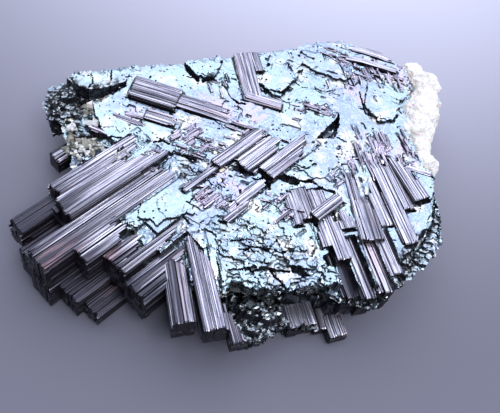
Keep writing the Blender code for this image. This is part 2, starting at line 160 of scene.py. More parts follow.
SECOND_BLADE = Growth((
    Blade("B", (-11.7, -7.8), (-2.1, -0.7), 7.1, 5.2),
), ragged=(0.1, 0.5), sunk=(0, 1.0), point=(0.1, 1.2), bevel=(0.12, 0.12), uneven=0.7,
    widths=(0.06, 0.4))
ELBOW = Growth((
    Blade("C", (-14.6, -7.6), (-3.8, -1.9), 7.15, 5.0, -4.0),
    Blade("B", (-2.8, 1.7), (-8.6, -7.3), 7.1, 5.0),
    Blade("C", (-14.7, -11.4), (-5.0, -3.9), 7.0, 5.2, -3.0),
), ragged=(0.4, 0.1), sunk=(0.4, 0), point=(0.2, 0.1), widths=(0.06, 0.4))
FAR_BLADE = Growth((
    Blade("B", (5.6, 13.5), (-18.9, -18.1), 7.2, 5.2),
), ragged=(2.5, 0.2), sunk=(3.5, 0), point=(2.5, 0.3), bevel=(0.1, 0.1), uneven=0.3, widths=(0.06, 0.4))
RIM_BLADE = Growth((
    Blade("B", (6.3, 12.9), (-21.2, -20.0), 6.95, 5.2),
), ragged=(2.0, 2.0), sunk=(2.5, 2.0), point=(2.0, 1.5), bevel=(0.1, 0.1), uneven=0.3)
STUB = Growth((
    Blade("A", (-14.2, -11.2), (-14.1, -12.7), 4.6, 2.6),
), ragged=(0.15, 0.15), point=(0.1, 0.1), uneven=1.5, widths=(0.1, 0.4), lit=True)
FRONT_WALL = Growth((
    Blade("C", (14.6, 17.2), (-2.8, 0.1), 2.4, FOOT),
    Blade("C", (15.2, 17.6), (-4.2, -2.6), 1.5, FOOT),
    Blade("C", (16.2, 18.7), (-5.6, -3.8), 1.9, FOOT),
), ragged=(0.1, 0.2), point=(0, 0.1), bevel=(0.2, 0.2), uneven=0.8, lit=True)
SLIVERS = Growth((         # small blades level with the face
    Blade("A", (-8.0, -5.0), (1.0, 1.4), 6.95, 6.4),
    Blade("A", (-3.4, -1.8), (5.9, 6.4), 6.95, 6.4),
    Blade("A", (-4.2, -1.1), (6.9, 7.3), 7.05, 6.4),
    Blade("A", (4.4, 6.0), (7.8, 8.1), 7.0, 6.4),
    Blade("A", (-4.8, -0.7), (-6.2, -5.2), 6.9, 6.4),
    Blade("B", (-15.4, -10.5), (-0.2, 0.3), 6.95, 6.2, -4.0),
    Blade("B", (-14.2, -11.2), (-0.9, -0.5), 6.95, 6.2, 8.0),
    Blade("B", (-17.0, -14.0), (2.1, 2.7), 6.9, 5.6, -6.0),
    Blade("B", (3.4, 6.3), (-9.4, -9.0), 7.0, 6.4),
    Blade("C", (-13.0, -10.6), (-12.1, -11.7), 7.0, 6.4),
    Blade("C", (-9.8, -7.5), (-12.0, -11.7), 7.0, 6.4),
    Blade("C", (-8.9, -7.2), (-14.2, -13.6), 7.0, 6.4),
), ragged=(0.8, 0.8), sunk=(0.8, 0.8), point=(0.8, 0.8), bevel=(0.05, 0.05), uneven=0.3,
    widths=(0.06, 0.3))

# ---- tables of the hematite

BASE_SLAB = Slab((
    (-15.4, -8.6), (-16.4, -5.8), (-17.2, -3.4), (-18.6, -1.0), (-18.8, 1.6), (-16.4, 4.0),
    (-12.8, 6.2), (-9.0, 8.6), (-5.0, 11.6), (-1.0, 13.6), (2.4, 16.2), (6.0, 18.8), (10.0, 18.8),
    (13.2, 17.0), (15.2, 13.0), (16.6, 8.0), (17.6, 3.0), (17.6, -1.6), (16.0, -5.6), (13.8, -9.2),
    (12.4, -11.4), (11.2, -13.8), (7.8, -15.2), (6.4, -17.0), (4.6, -17.9), (2.6, -17.0),
    (0.4, -16.0), (-2.4, -16.2), (-4.4, -15.4),
), 0.0, 3.3)
MIDDLE_SLAB = Slab((
    (-15.6, -9.0), (-16.6, -5.6), (-19.6, -1.8), (-20.4, 2.4), (-17.2, 4.8), (-13.0, 7.6),
    (-9.5, 9.8), (-5.0, 12.9), (-1.4, 15.2), (2.0, 17.8), (5.4, 20.4), (10.2, 20.4), (13.9, 18.8),
    (15.4, 15.0), (16.8, 9.0), (18.4, 4.0), (19.8, 0.6), (20.1, -2.8), (18.2, -6.4), (16.6, -9.8),
    (15.2, -11.5), (12.7, -12.0), (10.5, -11.6), (8.0, -11.8), (5.0, -12.4), (1.8, -13.2), (0.6, -15.2),
    (-3.0, -15.6), (-6.4, -14.2),
), 2.7, 5.4)
UPPER_SLAB = Slab((
    (-14.8, -9.4), (-15.4, -6.2), (-16.6, -4.4), (-19.0, -2.2), (-21.0, 1.6), (-20.7, 3.8),
    (-17.5, 5.3), (-16.3, 6.8), (-13.5, 8.4), (-10.1, 10.1), (-7.2, 12.2), (-4.8, 14.0),
    (-1.6, 15.9), (1.5, 18.3), (4.2, 20.4), (6.4, 21.4), (9.7, 21.3), (12.9, 20.8), (14.7, 19.8),
    (15.6, 17.0), (15.8, 13.0), (16.4, 9.0), (17.8, 6.4), (19.4, 4.8), (20.5, 2.1), (21.0, -0.2),
    (21.2, -2.4), (20.8, -4.2), (19.0, -7.0), (17.0, -9.8), (15.3, -11.8), (12.6, -12.2),
    (10.6, -11.8), (8.6, -12.6), (6.6, -13.5), (4.0, -14.2), (1.9, -14.1), (1.8, -15.5),
    (0.2, -15.8), (-3.4, -15.2), (-5.2, -13.4), (-9.4, -11.8),
), 4.9, FACE)
KNOB = Slab((
    (-22.0, 0.4), (-21.7, 2.0), (-20.7, 2.8), (-18.6, 1.4), (-18.3, -0.4), (-19.4, -2.0),
    (-20.5, -2.3), (-21.5, -1.2),
), 2.8, 6.1)
LEDGES = (                  # raised parts of the upper face
    Level(((-20.4, 3.5), (-18.8, 2.0), (-16.8, 1.9), (-15.4, 3.2), (-14.9, 5.4), (-16.4, 6.1),
          (-19.4, 4.8)), 7.15),
    Level(((-10.5, 10.1), (-9.1, 8.9), (-8.1, 8.2), (-6.2, 8.9), (-6.1, 10.7), (-6.3, 12.0),
          (-7.6, 12.6)), 7.1),
    Level(((-1.7, 10.6), (-0.8, 9.5), (1.0, 9.4), (1.8, 10.8), (2.6, 13.8), (1.8, 17.4),
          (-1.2, 15.6)), 7.15),
    Level(((2.6, 15.2), (4.6, 14.6), (7.8, 14.4), (8.6, 16.0), (8.0, 17.4), (4.2, 17.6)), 7.05),
    Level(((10.2, 12.2), (11.2, 10.4), (12.8, 10.0), (14.2, 10.9), (14.6, 14.6), (12.0, 16.6),
          (10.4, 15.4)), 7.1),
    Level(((8.2, 4.6), (9.6, 3.6), (10.0, 0.6), (7.6, -0.4), (4.4, 0.4), (5.2, 3.6)), 7.0),
    Level(((-8.4, -8.0), (-7.8, -10.8), (-5.8, -10.6), (-3.4, -8.4), (-4.4, -5.6), (-6.8, -5.2)),
         7.05),
    Level(((-1.8, -9.4), (0.8, -8.6), (3.6, -9.4), (5.6, -11.2), (4.0, -12.4), (0.6, -12.2)),
         7.05),
    Level(((6.4, -7.4), (8.0, -6.4), (8.8, -8.6), (9.0, -10.6), (6.8, -11.2), (5.6, -9.6)), 7.1),
)
TERRACE_STEPS = (           # raised parts of the lowest face
    Level(((2.9, -14.6), (5.6, -13.6), (7.4, -14.4), (6.6, -15.8), (3.4, -16.2)), 4.3),
    Level(((3.8, -15.8), (6.6, -15.4), (6.2, -16.6), (4.4, -17.0)), 3.7),
)
PRISM_BAYS = (              # where the lower face gives way to the low prisms at the front
    Level(((9.7, -11.0), (6.9, -12.6), (8.5, -15.3), (11.3, -13.7)), 1.9),
    Level(((11.2, -10.8), (9.8, -11.6), (11.3, -14.2), (12.7, -13.4)), 1.2),
    Level(((12.9, -10.9), (11.3, -11.8), (12.9, -14.5), (14.4, -13.6)), 1.4),
)
HOLLOWS = (                 # sunken parts of the upper face
    Level(((6.1, 5.1), (6.8, 6.6), (7.6, 8.2), (7.8, 9.5), (8.2, 7.8), (7.9, 5.8)), 5.6),
    Level(((3.0, -1.5), (4.1, -1.7), (5.4, -1.8), (5.6, -1.2), (6.8, -1.0), (6.9, -0.5), (5.5, -1.0),
          (3.9, -0.8)), 5.6),
    Level(((1.3, -1.0), (2.0, -1.3), (2.8, -2.0), (2.9, -3.3), (2.1, -2.5)), 6.1),
    Level(((9.4, -8.9), (10.1, -7.7), (10.8, -8.1), (10.9, -9.6), (10.0, -9.8)), 5.2),
    Level(((10.9, -11.4), (12.4, -10.9), (14.0, -10.6), (16.4, -9.6), (17.0, -10.6), (15.6, -12.5),
          (12.4, -12.9), (10.4, -12.4)), 5.1),
    Level(((6.6, -11.0), (7.6, -10.9), (8.6, -11.2), (8.0, -11.7), (6.9, -11.5)), 5.7),
    Level(((-19.4, 0.4), (-17.4, 1.2), (-16.6, 0.2), (-15.6, -1.3), (-14.6, -2.4), (-13.5, -3.0),
          (-12.9, -3.6), (-14.4, -5.6), (-16.4, -6.6), (-18.4, -4.4), (-19.4, -1.6)), 6.0),
    Level(((-21.6, 3.3), (-19.8, 2.3), (-18.0, 1.9), (-16.4, 2.8), (-14.8, 4.6), (-15.3, 3.0),
          (-16.3, 1.2), (-18.2, 0.7), (-20.8, 1.1)), 5.7),
    Level(((19.8, 4.4), (21.6, 2.3), (21.8, -1.9), (20.9, -4.2), (20.0, -6.0), (18.5, -7.9),
          (17.2, -9.4), (16.6, -8.2), (17.4, -6.5), (18.5, -4.2), (19.2, -2.2), (19.7, 0.1),
          (19.4, 2.0)), 5.8),
)
# A crevice is the path of its bottom, its width and its depth.
CREVICES = (
    (((-21.3, 3.3), (-20.6, 2.5), (-19.3, 1.8), (-18.2, 1.6), (-17.0, 1.5), (-16.4, 2.2),
      (-15.8, 2.9), (-14.8, 4.2)), 0.42, 1.1),
    (((-18.7, 4.4), (-17.9, 3.2), (-17.9, 2.2)), 0.16, 0.5),
    (((-16.8, 5.4), (-16.2, 4.1)), 0.14, 0.4),
    (((-10.5, 10.0), (-9.5, 9.2), (-8.7, 8.6), (-8.0, 8.1)), 0.75, 1.0),
    (((-7.4, 8.3), (-6.8, 8.8), (-6.2, 8.7)), 0.9, 1.0),
    (((-6.2, 8.8), (-5.4, 8.7), (-4.7, 8.2), (-4.1, 7.3), (-3.3, 6.8), (-2.2, 6.7)), 0.4, 0.8),
    (((-9.5, 3.5), (-9.3, 2.5), (-8.5, 1.9)), 0.35, 0.7),
    (((-9.4, -1.7), (-8.8, -1.3), (-8.1, -1.4)), 0.4, 0.6),
    (((-8.2, -2.5), (-7.6, -2.6), (-7.2, -2.3), (-6.1, -2.4), (-5.1, -2.5)), 0.5, 0.8),
    (((-9.0, -3.3), (-8.4, -2.8), (-8.2, -2.5)), 0.6, 0.9),
    (((-3.4, -4.1), (-2.5, -4.7), (-1.9, -4.8)), 0.18, 0.5),
    (((-2.2, 10.3), (-1.0, 9.5), (0.9, 9.5), (2.0, 11.1)), 0.45, 0.8),
    (((2.0, 12.3), (2.9, 11.7), (3.8, 11.7)), 0.12, 0.3),
    (((4.5, 12.4), (5.2, 11.5), (6.5, 12.6)), 0.12, 0.3),
    (((5.4, 17.6), (6.7, 16.8), (7.6, 15.1), (8.6, 14.2), (9.5, 15.1)), 0.16, 0.4),
    (((6.0, 3.1), (6.3, 2.9)), 0.24, 0.8),
    (((3.9, 0.7), (5.7, 0.5), (6.5, 1.1)), 0.18, 0.5),
    (((6.8, -0.7), (7.9, -1.1), (9.1, -1.2)), 0.4, 0.8),
    (((19.6, 4.0), (19.8, 0.1), (19.3, -2.2), (18.5, -4.2), (17.4, -6.5), (16.8, -7.8)), 1.5, 1.6),
    (((9.6, 13.7), (10.3, 11.8), (10.8, 10.7), (12.5, 10.3), (13.8, 10.6), (14.4, 11.9)), 0.22, 0.5),
    (((-8.8, -11.6), (-7.7, -11.8), (-7.3, -12.6), (-6.4, -12.6)), 0.22, 0.6),
    (((0.7, -10.4), (2.1, -9.7), (3.6, -9.6)), 0.2, 0.6),
    (((1.6, -11.0), (3.7, -10.1), (5.9, -9.7)), 0.22, 0.6),
    (((1.4, -13.1), (3.2, -12.6), (4.9, -11.8), (6.7, -11.6)), 0.24, 0.8),
    (((4.9, -11.8), (5.9, -12.7), (7.1, -13.4)), 0.24, 0.8),
)
SCALY_ZONES = (             # where the upper face is broken up into scales
    ((-1.8, -9.0), (0.1, -7.4), (3.1, -7.7), (7.1, -8.6), (9.1, -9.7), (11.9, -10.7), (11.2, -12.2),
     (8.0, -13.3), (4.7, -14.0), (2.2, -14.4), (0.6, -12.2), (-0.8, -10.7)),
    ((-7.3, -3.0), (-6.3, -2.0), (-3.6, -2.2), (-1.7, -4.4), (-4.3, -5.0), (-6.4, -4.8)),
)

# ---- tables of the pale minerals

LUMP_FLATNESS, LUMP_RELIEF, LUMP_GRAIN = 0.9, 0.28, 0.16
CRUMB_CORNERS = 11
FELDSPAR = (
    Lump(15.5, 20.4, 5.6, 1.7), Lump(17.2, 18.9, 5.6, 2.1), Lump(17.5, 16.3, 5.4, 2.1),
    Lump(16.9, 13.7, 5.6, 2.6), Lump(16.9, 11.2, 5.6, 2.3), Lump(17.4, 8.9, 5.4, 1.8),
    Lump(18.3, 6.9, 5.4, 1.8),
)
POCKET_CRUMBS = (
    Crumbs(-15.6, -3.8, 6.1, 0.9, 9, (0.5, 0.75), (0.5, 0.62)),
    Crumbs(-16.2, -1.4, 6.25, 0.5, 6, (0.4, 0.55), (0.85, 1.0)),
    Crumbs(-15.9, -5.0, 6.3, 1.0, 44, (0.15, 0.35), (0.6, 1.0)),
    Crumbs(-14.6, -3.9, 6.5, 0.7, 24, (0.12, 0.28), (0.6, 1.0)),
    Crumbs(-18.0, -2.5, 5.9, 0.5, 9, (0.25, 0.4), (0.85, 1.0)),
    Crumbs(-17.5, -3.3, 5.8, 0.6, 9, (0.35, 0.5), (0.45, 0.6)),
    Crumbs(-17.0, -4.7, 5.7, 0.7, 9, (0.4, 0.55), (0.15, 0.35)),
    Crumbs(-17.5, 0.0, 6.1, 0.6, 16, (0.15, 0.35), (0.1, 0.9)),
    Crumbs(-16.0, 1.8, 6.4, 0.7, 18, (0.12, 0.3), (0.3, 1.0)),
    Crumbs(-12.2, -0.4, 6.5, 0.8, 12, (0.3, 0.5), (0.2, 0.4)),
    Crumbs(-11.7, -4.6, 6.75, 0.9, 14, (0.12, 0.3), (0.7, 1.0)),
)
PALE_GRAIN = (Crumbs(-17.0, 0.8, 6.3, 0.1, 2, (0.75, 0.85), (0.9, 1.0)),
              Crumbs(-16.4, 0.6, 5.9, 0.5, 7, (0.15, 0.35), (0.5, 1.0)))
CREAM_GRAIN = (Crumbs(-18.8, -1.4, 5.5, 0.3, 4, (0.4, 0.65), (0.8, 1.0)),)
CENTRE_GRAIN = (Crumbs(-1.9, -2.4, 6.15, 0.15, 2, (0.95, 1.05), (0.8, 0.95)),
                Crumbs(-1.4, -3.0, 6.4, 0.4, 5, (0.3, 0.5), (0.6, 1.0)),
                Crumbs(-2.3, -1.3, 6.6, 0.9, 16, (0.12, 0.3), (0.7, 1.0)))

# ---- tables of marks and needles

SHADED_DARK_ZONES = (              # where the crystal is near black with painted glints: partly painted shade, in recesses, under the overhang and down the scarps
    ((-4.5, -15.6), (0.2, -15.9), (1.8, -15.6), (1.9, -14.3), (4.0, -14.4), (6.6, -13.7), (8.6, -12.8),
     (10.6, -12.0), (12.8, -12.5), (12.4, -14.6), (8.4, -16.2), (6.8, -18.5), (2.0, -18.5), (-4.0, -17.0)),
    KNOB.outline,
    ((-20.8, 3.4), (-18.0, 2.4), (-15.1, 4.9), (-15.3, 3.7), (-16.6, 2.1), (-18.4, 1.2),
     (-20.6, 1.5)),
    ((-20.5, 0.7), (-18.5, 1.6), (-16.7, 1.2), (-17.3, -0.8), (-16.9, -2.7), (-14.9, -2.9),
     (-15.9, -3.7), (-15.3, -5.7), (-16.9, -5.4), (-18.7, -2.0)),
    HOLLOWS[2].outline,
    ((11.6, -12.2), (12.3, -10.8), (15.6, -9.4), (17.3, -6.9), (17.2, -6.0), (18.7, -5.5), (18.0, -8.4),
     (16.3, -11.1), (13.2, -13.1)),
    ((19.6, 4.8), (20.8, 4.7), (21.6, 2.0), (21.7, -0.4), (20.5, -1.0), (19.8, -2.6), (18.6, -4.4),
     (19.4, -5.6), (18.2, -7.6), (16.6, -7.0), (16.8, -5.6), (17.7, -4.2), (18.8, -2.6), (19.5, -1.1),
     (20.2, 0.4), (20.5, 2.4)),
)
SHEEN_PATCHES = (            # middle and radius of each whitish patch of painted sheen on the face
    (-6.7, -8.5, 1.9), (-16.5, 3.3, 1.6), (-7.0, 2.1, 2.2), (-1.3, 10.9, 1.6), (9.4, 4.6, 2.6),
    (11.9, 10.4, 1.8), (5.6, -8.4, 1.4), (8.1, -8.6, 1.8), (-2.1, -1.9, 1.8), (-1.5, 1.7, 1.6),
    (20.3, -3.6, 1.8), (2.6, 13.4, 1.4), (9.0, 6.9, 1.6), (13.2, 17.5, 2.0), (-12.2, 0.6, 1.4),
    (-9.6, -3.6, 1.2), (2.4, -5.8, 1.6), (8.5, -9.4, 1.6), (17.6, 0.2, 1.6), (-14.0, 3.0, 1.2),
)
LILAC_PATCHES = (           # direction of its streaks, middle and radius of each lilac patch of the face
    ("B", -5.8, 5.4, 1.5), ("B", -4.1, 5.0, 1.6), ("B", -2.3, 4.6, 1.6), ("B", -1.0, 4.6, 1.2),
    ("A", -2.2, 6.2, 1.2), ("A", -0.6, 5.9, 1.3), ("A", -0.2, 7.4, 1.1), ("A", -6.2, 1.2, 1.2),
    ("A", 3.2, 0.1, 1.2), ("A", 7.2, -3.9, 1.1), ("A", -1.3, -3.8, 1.3), ("A", -0.1, -4.6, 1.2),
    ("A", -2.6, -6.5, 1.3), ("A", 3.4, 8.6, 1.2), ("B", 5.0, 9.2, 1.0), ("C", 7.0, 17.6, 1.3),
    ("C", 8.5, 13.5, 1.4), ("C", 9.6, 12.6, 1.1), ("C", 13.7, 19.8, 1.1), ("C", 14.2, 18.0, 1.5),
    ("C", 11.2, 6.8, 1.6), ("C", 13.6, 6.3, 1.6), ("C", 15.2, 6.9, 1.4), ("C", 10.3, 3.6, 1.3),
    ("C", 17.0, 6.0, 1.2), ("C", 12.9, 4.5, 1.4), ("A", -9.6, 1.4, 1.2), ("A", -12.6, 1.0, 1.2),
)
NEEDLE_FIELDS = (           # needles lie about level with the face
    Field((7.0, 10.0), (15.0, 18.0), 22, "CCCB", (0.8, 3.0), (0.1, 0.41)),
    Field((10.4, 14.4), (15.4, 18.8), 25, "CCBC", (0.8, 2.6), (0.1, 0.47)),
    Field((10.2, 14.4), (2.6, 8.0), 31, "CCC", (1.0, 3.4), (0.13, 0.61)),
    Field((3.6, 7.0), (8.0, 9.7), 13, "ABB", (0.8, 2.2), (0.1, 0.41)),
    Field((-3.0, 1.3), (1.2, 4.0), 22, "BBA", (0.8, 2.8), (0.1, 0.41)),
    Field((-7.0, -0.9), (-2.2, 0.6), 25, "BAB", (0.8, 2.6), (0.1, 0.34)),
    Field((-3.7, 1.1), (-7.4, -5.6), 22, "AAA", (0.8, 2.6), (0.13, 0.54)),
    Field((2.4, 5.6), (-5.6, -3.6), 14, "AAB", (0.6, 2.0), (0.13, 0.41)),
    Field((-12.6, -8.7), (-6.0, -2.6), 14, "AAB", (0.8, 2.4), (0.13, 0.47)),
    Field((-7.6, -4.9), (7.0, 9.8), 10, "CCB", (0.6, 1.8), (0.1, 0.34)),
    Field((14.6, 18.0), (4.6, 9.6), 20, "CCC", (0.8, 2.6), (0.13, 0.47)),
    Field((-8.2, -5.2), (-0.6, 1.6), 11, "AAA", (1.0, 2.4), (0.2, 0.61)),
    Field((3.7, 7.8), (17.0, 19.4), 14, "BBC", (0.8, 2.4), (0.1, 0.34)),
    Field((8.0, 10.8), (0.2, 2.8), 10, "CCA", (0.6, 2.2), (0.1, 0.34)),
    Field((-6.0, 14.0), (-8.0, 16.0), 64, "ABCB", (0.4, 1.4), (0.07, 0.22)),
)


# ---- noise in the plane

def scatter(i, j, seed):
    """A repeatable random number from 0 to 1 for each cell of an endless grid."""
    n = (i.astype(np.int64) * 73856093) ^ (j.astype(np.int64) * 19349663) ^ (seed * 83492791)
    n = ((n ^ (n >> 13)) * 1274126177) & 0xFFFFFFFF
    n = ((n ^ (n >> 15)) * 668265263) & 0xFFFFFFFF
    return ((n ^ (n >> 16)) & 0xFFFFFF) / 0x1000000


def wave(x, y, size, seed):
    """Smooth noise from -1 to 1, with humps about size wide."""
    u, v = x / size, y / size
    i, j = np.floor(u), np.floor(v)
    fu, fv = u - i, v - j
    fu, fv = fu * fu * (3 - 2 * fu), fv * fv * (3 - 2 * fv)
    near = scatter(i, j, seed) * (1 - fu) + scatter(i + 1, j, seed) * fu
    far = scatter(i, j + 1, seed) * (1 - fu) + scatter(i + 1, j + 1, seed) * fu
    return 2 * (near * (1 - fv) + far * fv) - 1


def waves(x, y, size, seed, octaves=3):
    """Noise with finer humps on coarse ones, about -1 to 1."""
    total = sum(wave(x, y, size / 2 ** k, seed + 7 * k) / 2 ** k for k in range(octaves))
    return total / (2 - 0.5 ** (octaves - 1))


def warped(x, y, shift, size, seed, step=2):
    """Points moved about by smooth noise, so that the edges of what is drawn there waver."""
    return x + shift * waves(x, y, size, seed), y + shift * waves(x, y, size, seed + step)


Tiles = namedtuple("Tiles", "x y draw border centre_distance")


def tiles(x, y, size, seed):
    """The plane in random tiles: each point's tile centre, a random number of the tile, the distance
    to its border and the distance to its centre."""
    u, v = x / size, y / size
    i, j = np.floor(u), np.floor(v)
    first = np.full(u.shape, np.inf)
    second = np.full(u.shape, np.inf)
    centre_u, centre_v, draw = np.zeros(u.shape), np.zeros(u.shape), np.zeros(u.shape)
    for a in (-1, 0, 1):
        for b in (-1, 0, 1):
            pu = i + a + scatter(i + a, j + b, seed)
            pv = j + b + scatter(i + a, j + b, seed + 1)
            reach = np.hypot(u - pu, v - pv)
            nearer = reach < first
            second = np.where(nearer, first, np.minimum(second, reach))
            first = np.where(nearer, reach, first)
            centre_u = np.where(nearer, pu, centre_u)
            centre_v = np.where(nearer, pv, centre_v)
            draw = np.where(nearer, scatter(i + a, j + b, seed + 2), draw)
    return Tiles(centre_u * size, centre_v * size, draw, (second - first) * size / 2, first * size)


def ease(value, low, high):
    """0 below low, 1 above high, smooth between them."""
    t = np.clip((value - low) / (high - low), 0, 1)
    return t * t * (3 - 2 * t)


def segment_distance(x, y, start, end):
    ex, ey = end[0] - start[0], end[1] - start[1]
    t = np.clip(((x - start[0]) * ex + (y - start[1]) * ey) / (ex * ex + ey * ey), 0, 1)
    return np.hypot(x - start[0] - t * ex, y - start[1] - t * ey)


def path_distance(path, x, y):
    return np.min([segment_distance(x, y, a, b) for a, b in zip(path, path[1:])], axis=0)


def outline_distance(outline, x, y):
    """Distance of each point to a closed outline, negative inside."""
    inside = np.zeros(x.shape, bool)
    closed = (*outline, outline[0])
    for (ax, ay), (bx, by) in zip(closed, closed[1:]):
        if ay != by:
            inside ^= ((ay <= y) != (by <= y)) & (x < ax + (y - ay) * (bx - ax) / (by - ay))
    reach = path_distance(closed, x, y)
    return np.where(inside, -reach, reach)


# ---- relief of the hematite

GROWTHS = (
    LEFT_SHEAF, MAIN_BLADE, LOWER_LEFT_SHEAF, LAST_BAR, CUT_BUNDLE, TOP_RIGHT_BLADE, CENTRE_BARS,
    LOW_BARS, RIGHT_SHEAF, LOWER_RIGHT_SHEAF, CROSS_BLADE, PINK_BLADE, FRONT_FAN, PINK_FAN,
    UPPER_BLADES, FADING_BLADE, SECOND_BLADE, ELBOW, FAR_BLADE, RIM_BLADE, STUB, FRONT_WALL,
)
FACE_GROOVE, LOW_GROOVE = 0.12, 0.1         # depths of the grooves beside the blades


def blade_frame(blade):
    """Matrix from a blade's own axes (along, across to the left, up) to the tables' axes."""
    centre = Vector((sum(blade.along) / 2, -sum(blade.across) / 2, 0.0))
    own_turn = Matrix.Rotation(math.radians(blade.turn), 4, "Z")
    heading = Matrix.Rotation(math.radians(DIRECTIONS[blade.direction]), 4, "Z")
    return heading @ Matrix.Translation(centre) @ own_turn


def blade_place(blade, x, y):
    """Each point's place along the blade, and its distance to the blade's rectangle, negative inside."""
    back = np.array(blade_frame(blade).inverted())
    u = back[0, 0] * x + back[0, 1] * y + back[0, 3]
    v = back[1, 0] * x + back[1, 1] * y + back[1, 3]
    du = np.abs(u) - (blade.along[1] - blade.along[0]) / 2
    dv = np.abs(v) - (blade.across[1] - blade.across[0]) / 2
    outside = np.hypot(np.maximum(du, 0), np.maximum(dv, 0))
    return u + sum(blade.along) / 2, outside + np.minimum(np.maximum(du, dv), 0)


def top_along(blade, growth, u):
    """Height of a blade's top along it: over a sunk end it slopes down to the crystal's face."""
    (start, finish), (first, last) = blade.along, growth.sunk
    low = min(blade.top, FACE - 0.06)
    spots = (start, start + first + 0.001, finish - last - 0.001, finish)
    tops = (low if first else blade.top, blade.top, blade.top, low if last else blade.top)
    return np.interp(u, spots, tops)


def jagged(x, y, size, seed, share=0.75):
    """Points drawn towards the centres of random tiles, so that edges follow the tiles' borders."""
    tile = tiles(x, y, size, seed)
    return x + share * (tile.x - x), y + share * (tile.y - y)


def scales(x, y, size, seed):
    """Overlapping scales that rise towards the viewer's side and end in a drop."""
    wx, wy = warped(x, y, 0.25, 0.6, seed + 40, 1)
    tile = tiles(wx, 1.4 * wy, size, seed)
    tilt_x = 0.12 * (2 * scatter(tile.x * 97, tile.y * 89, seed + 3) - 1)
    tilt_y = 0.1 + 0.2 * scatter(tile.x * 83, tile.y * 91, seed + 4)
    return 0.55 * (tile.draw - 0.5) + tilt_x * (x - tile.x) - tilt_y * (y - tile.y / 1.4)


def blade_hollows(height, x, y, face, contact):
    """Lowers the relief inside every blade that reaches the face, and digs a groove beside it."""
    uneven = waves(x, y, 0.5, 63)
    touching = ease(waves(x, y, 1.3, 61), -0.2, 0.4)
    for growth in GROWTHS:
        fading = [max(a, b + c) for a, b, c in zip(growth.sunk, growth.ragged, growth.point)]
        for blade in growth.blades:
            if blade.top < min(face, LOWEST_CUT) - 0.1:
                continue
            u, reach = blade_place(blade, x, y)
            _, behind = blade_place(blade, x, y + 0.1)
            front = ease(reach - behind, 0.03, 0.08) * ease(uneven, -0.7, 0.1)
            spread = 0.2 if blade.direction == "B" else 0.38
            groove = (contact * (1 - ease(reach, 0.02, 0.14)) * touching
                      + front * 5 * contact * (1 - ease(reach, 0.05, spread)))
            fade = 1 - ease(u - blade.along[0], 0, 0.9 * fading[0] + 0.001)
            fade = np.maximum(fade, 1 - ease(blade.along[1] - u, 0, 0.9 * fading[1] + 0.001))
            roof = top_along(blade, growth, u)
            limit = fade * (np.minimum(roof, FACE) + 0.02 + 0.16 * uneven) + (1 - fade) * (roof - 0.8)
            height = np.where(reach > -0.08, height - groove, np.minimum(height, limit))
    return height


def on_the_face(tip):
    """Whether a point lies well inside the upper face and clear of its hollows."""
    x, y = map(np.array, tip)
    return (outline_distance(UPPER_SLAB.outline, x, y) <= -0.7
            and min(outline_distance(hollow.outline, x, y) for hollow in HOLLOWS) >= 0.2)


def needles(seed):
    """Thin blades scattered over the fields, as one growth."""
    dice = random.Random(seed)
    blades = []
    for field in NEEDLE_FIELDS:
        for _ in range(field.count):
            way = dice.choice(field.ways)
            length, width = dice.uniform(*field.lengths), dice.uniform(*field.widths)
            angle = math.radians(DIRECTIONS[way])
            x, y = dice.uniform(*field.x), dice.uniform(*field.y)
            tips = [(x + k * length * math.cos(angle), y + k * length * math.sin(angle))
                    for k in (-0.5, 0.5)]
            if not all(on_the_face(tip) for tip in tips):
                continue
            along = x * math.cos(angle) + y * math.sin(angle)
            across = x * math.sin(angle) - y * math.cos(angle)
            blades.append(Blade(way, (along - length / 2, along + length / 2),
                                (across - width / 2, across + width / 2),
                                FACE + dice.uniform(0.08, 0.26), FACE - 0.5, dice.uniform(-7.0, 7.0)))
    return Growth(blades, ragged=(0.3, 0.3), point=(0.5, 0.5), sunk=(0.5, 0.5), bevel=(0.04, 0.04),
                  uneven=0.3, widths=(0.06, 0.3))


NEEDLES = needles(77)


def patch_share(patches, wx, wy, core):
    """How much each point belongs to round patches, which fade from a core share of their radius."""
    return np.max([1 - ease(np.hypot(wx - px, wy - py), core * radius, radius)
                   for px, py, radius in patches], axis=0)


def sheen_share(x, y):
    """How much each point belongs to a whitish patch of painted sheen on the face."""
    return patch_share(SHEEN_PATCHES, *warped(x, y, 0.6, 1.2, 171), 0.2)


def lilac_share(x, y, direction):
    """How much each point belongs to a patch with lilac streaks of one direction."""
    patches = [patch for way, *patch in LILAC_PATCHES if way == direction]
    return patch_share(patches, *warped(x, y, 0.7, 1.0, 181), 0.5)


def strokes(x, y, seed):
    """Depth of short dark breaks scattered over the face."""
    dice = random.Random(seed)
    depth = np.zeros(x.shape)
    for _ in range(STROKE_COUNT):
        sx, sy = dice.uniform(-18.0, 18.0), dice.uniform(-12.0, 19.0)
        angle = math.radians(dice.choice((0.0, 0.0, 60.0, -60.0, -20.0)) + dice.uniform(-20, 20))
        length, width = dice.uniform(0.3, 1.3), dice.uniform(0.05, 0.12)
        tip = (sx + length * math.cos(angle), sy + length * math.sin(angle))
        near = (np.abs(x - sx) < 2.2) & (np.abs(y - sy) < 2.2)
        reach = segment_distance(x[near], y[near], (sx, sy), tip)
        cut = dice.uniform(0.1, 0.3) * (1 - ease(reach, 0.3 * width, width))
        depth[near] = np.maximum(depth[near], cut)
    return depth


def needle_marks(x, y):
    """Depth of the thin grooves beside the needles."""
    depth = np.zeros(x.shape)
    for blade in NEEDLES.blades:
        middle = blade_frame(blade).translation
        near = (np.abs(x - middle.x) < 2.4) & (np.abs(y - middle.y) < 2.4)
        _, reach = blade_place(blade, x[near], y[near])
        groove = 0.16 * (1 - ease(np.abs(reach - 0.04), 0.02, 0.1))
        depth[near] = np.maximum(depth[near], groove)
    return depth * ease(waves(x, y, 0.9, 65), -0.4, 0.3)


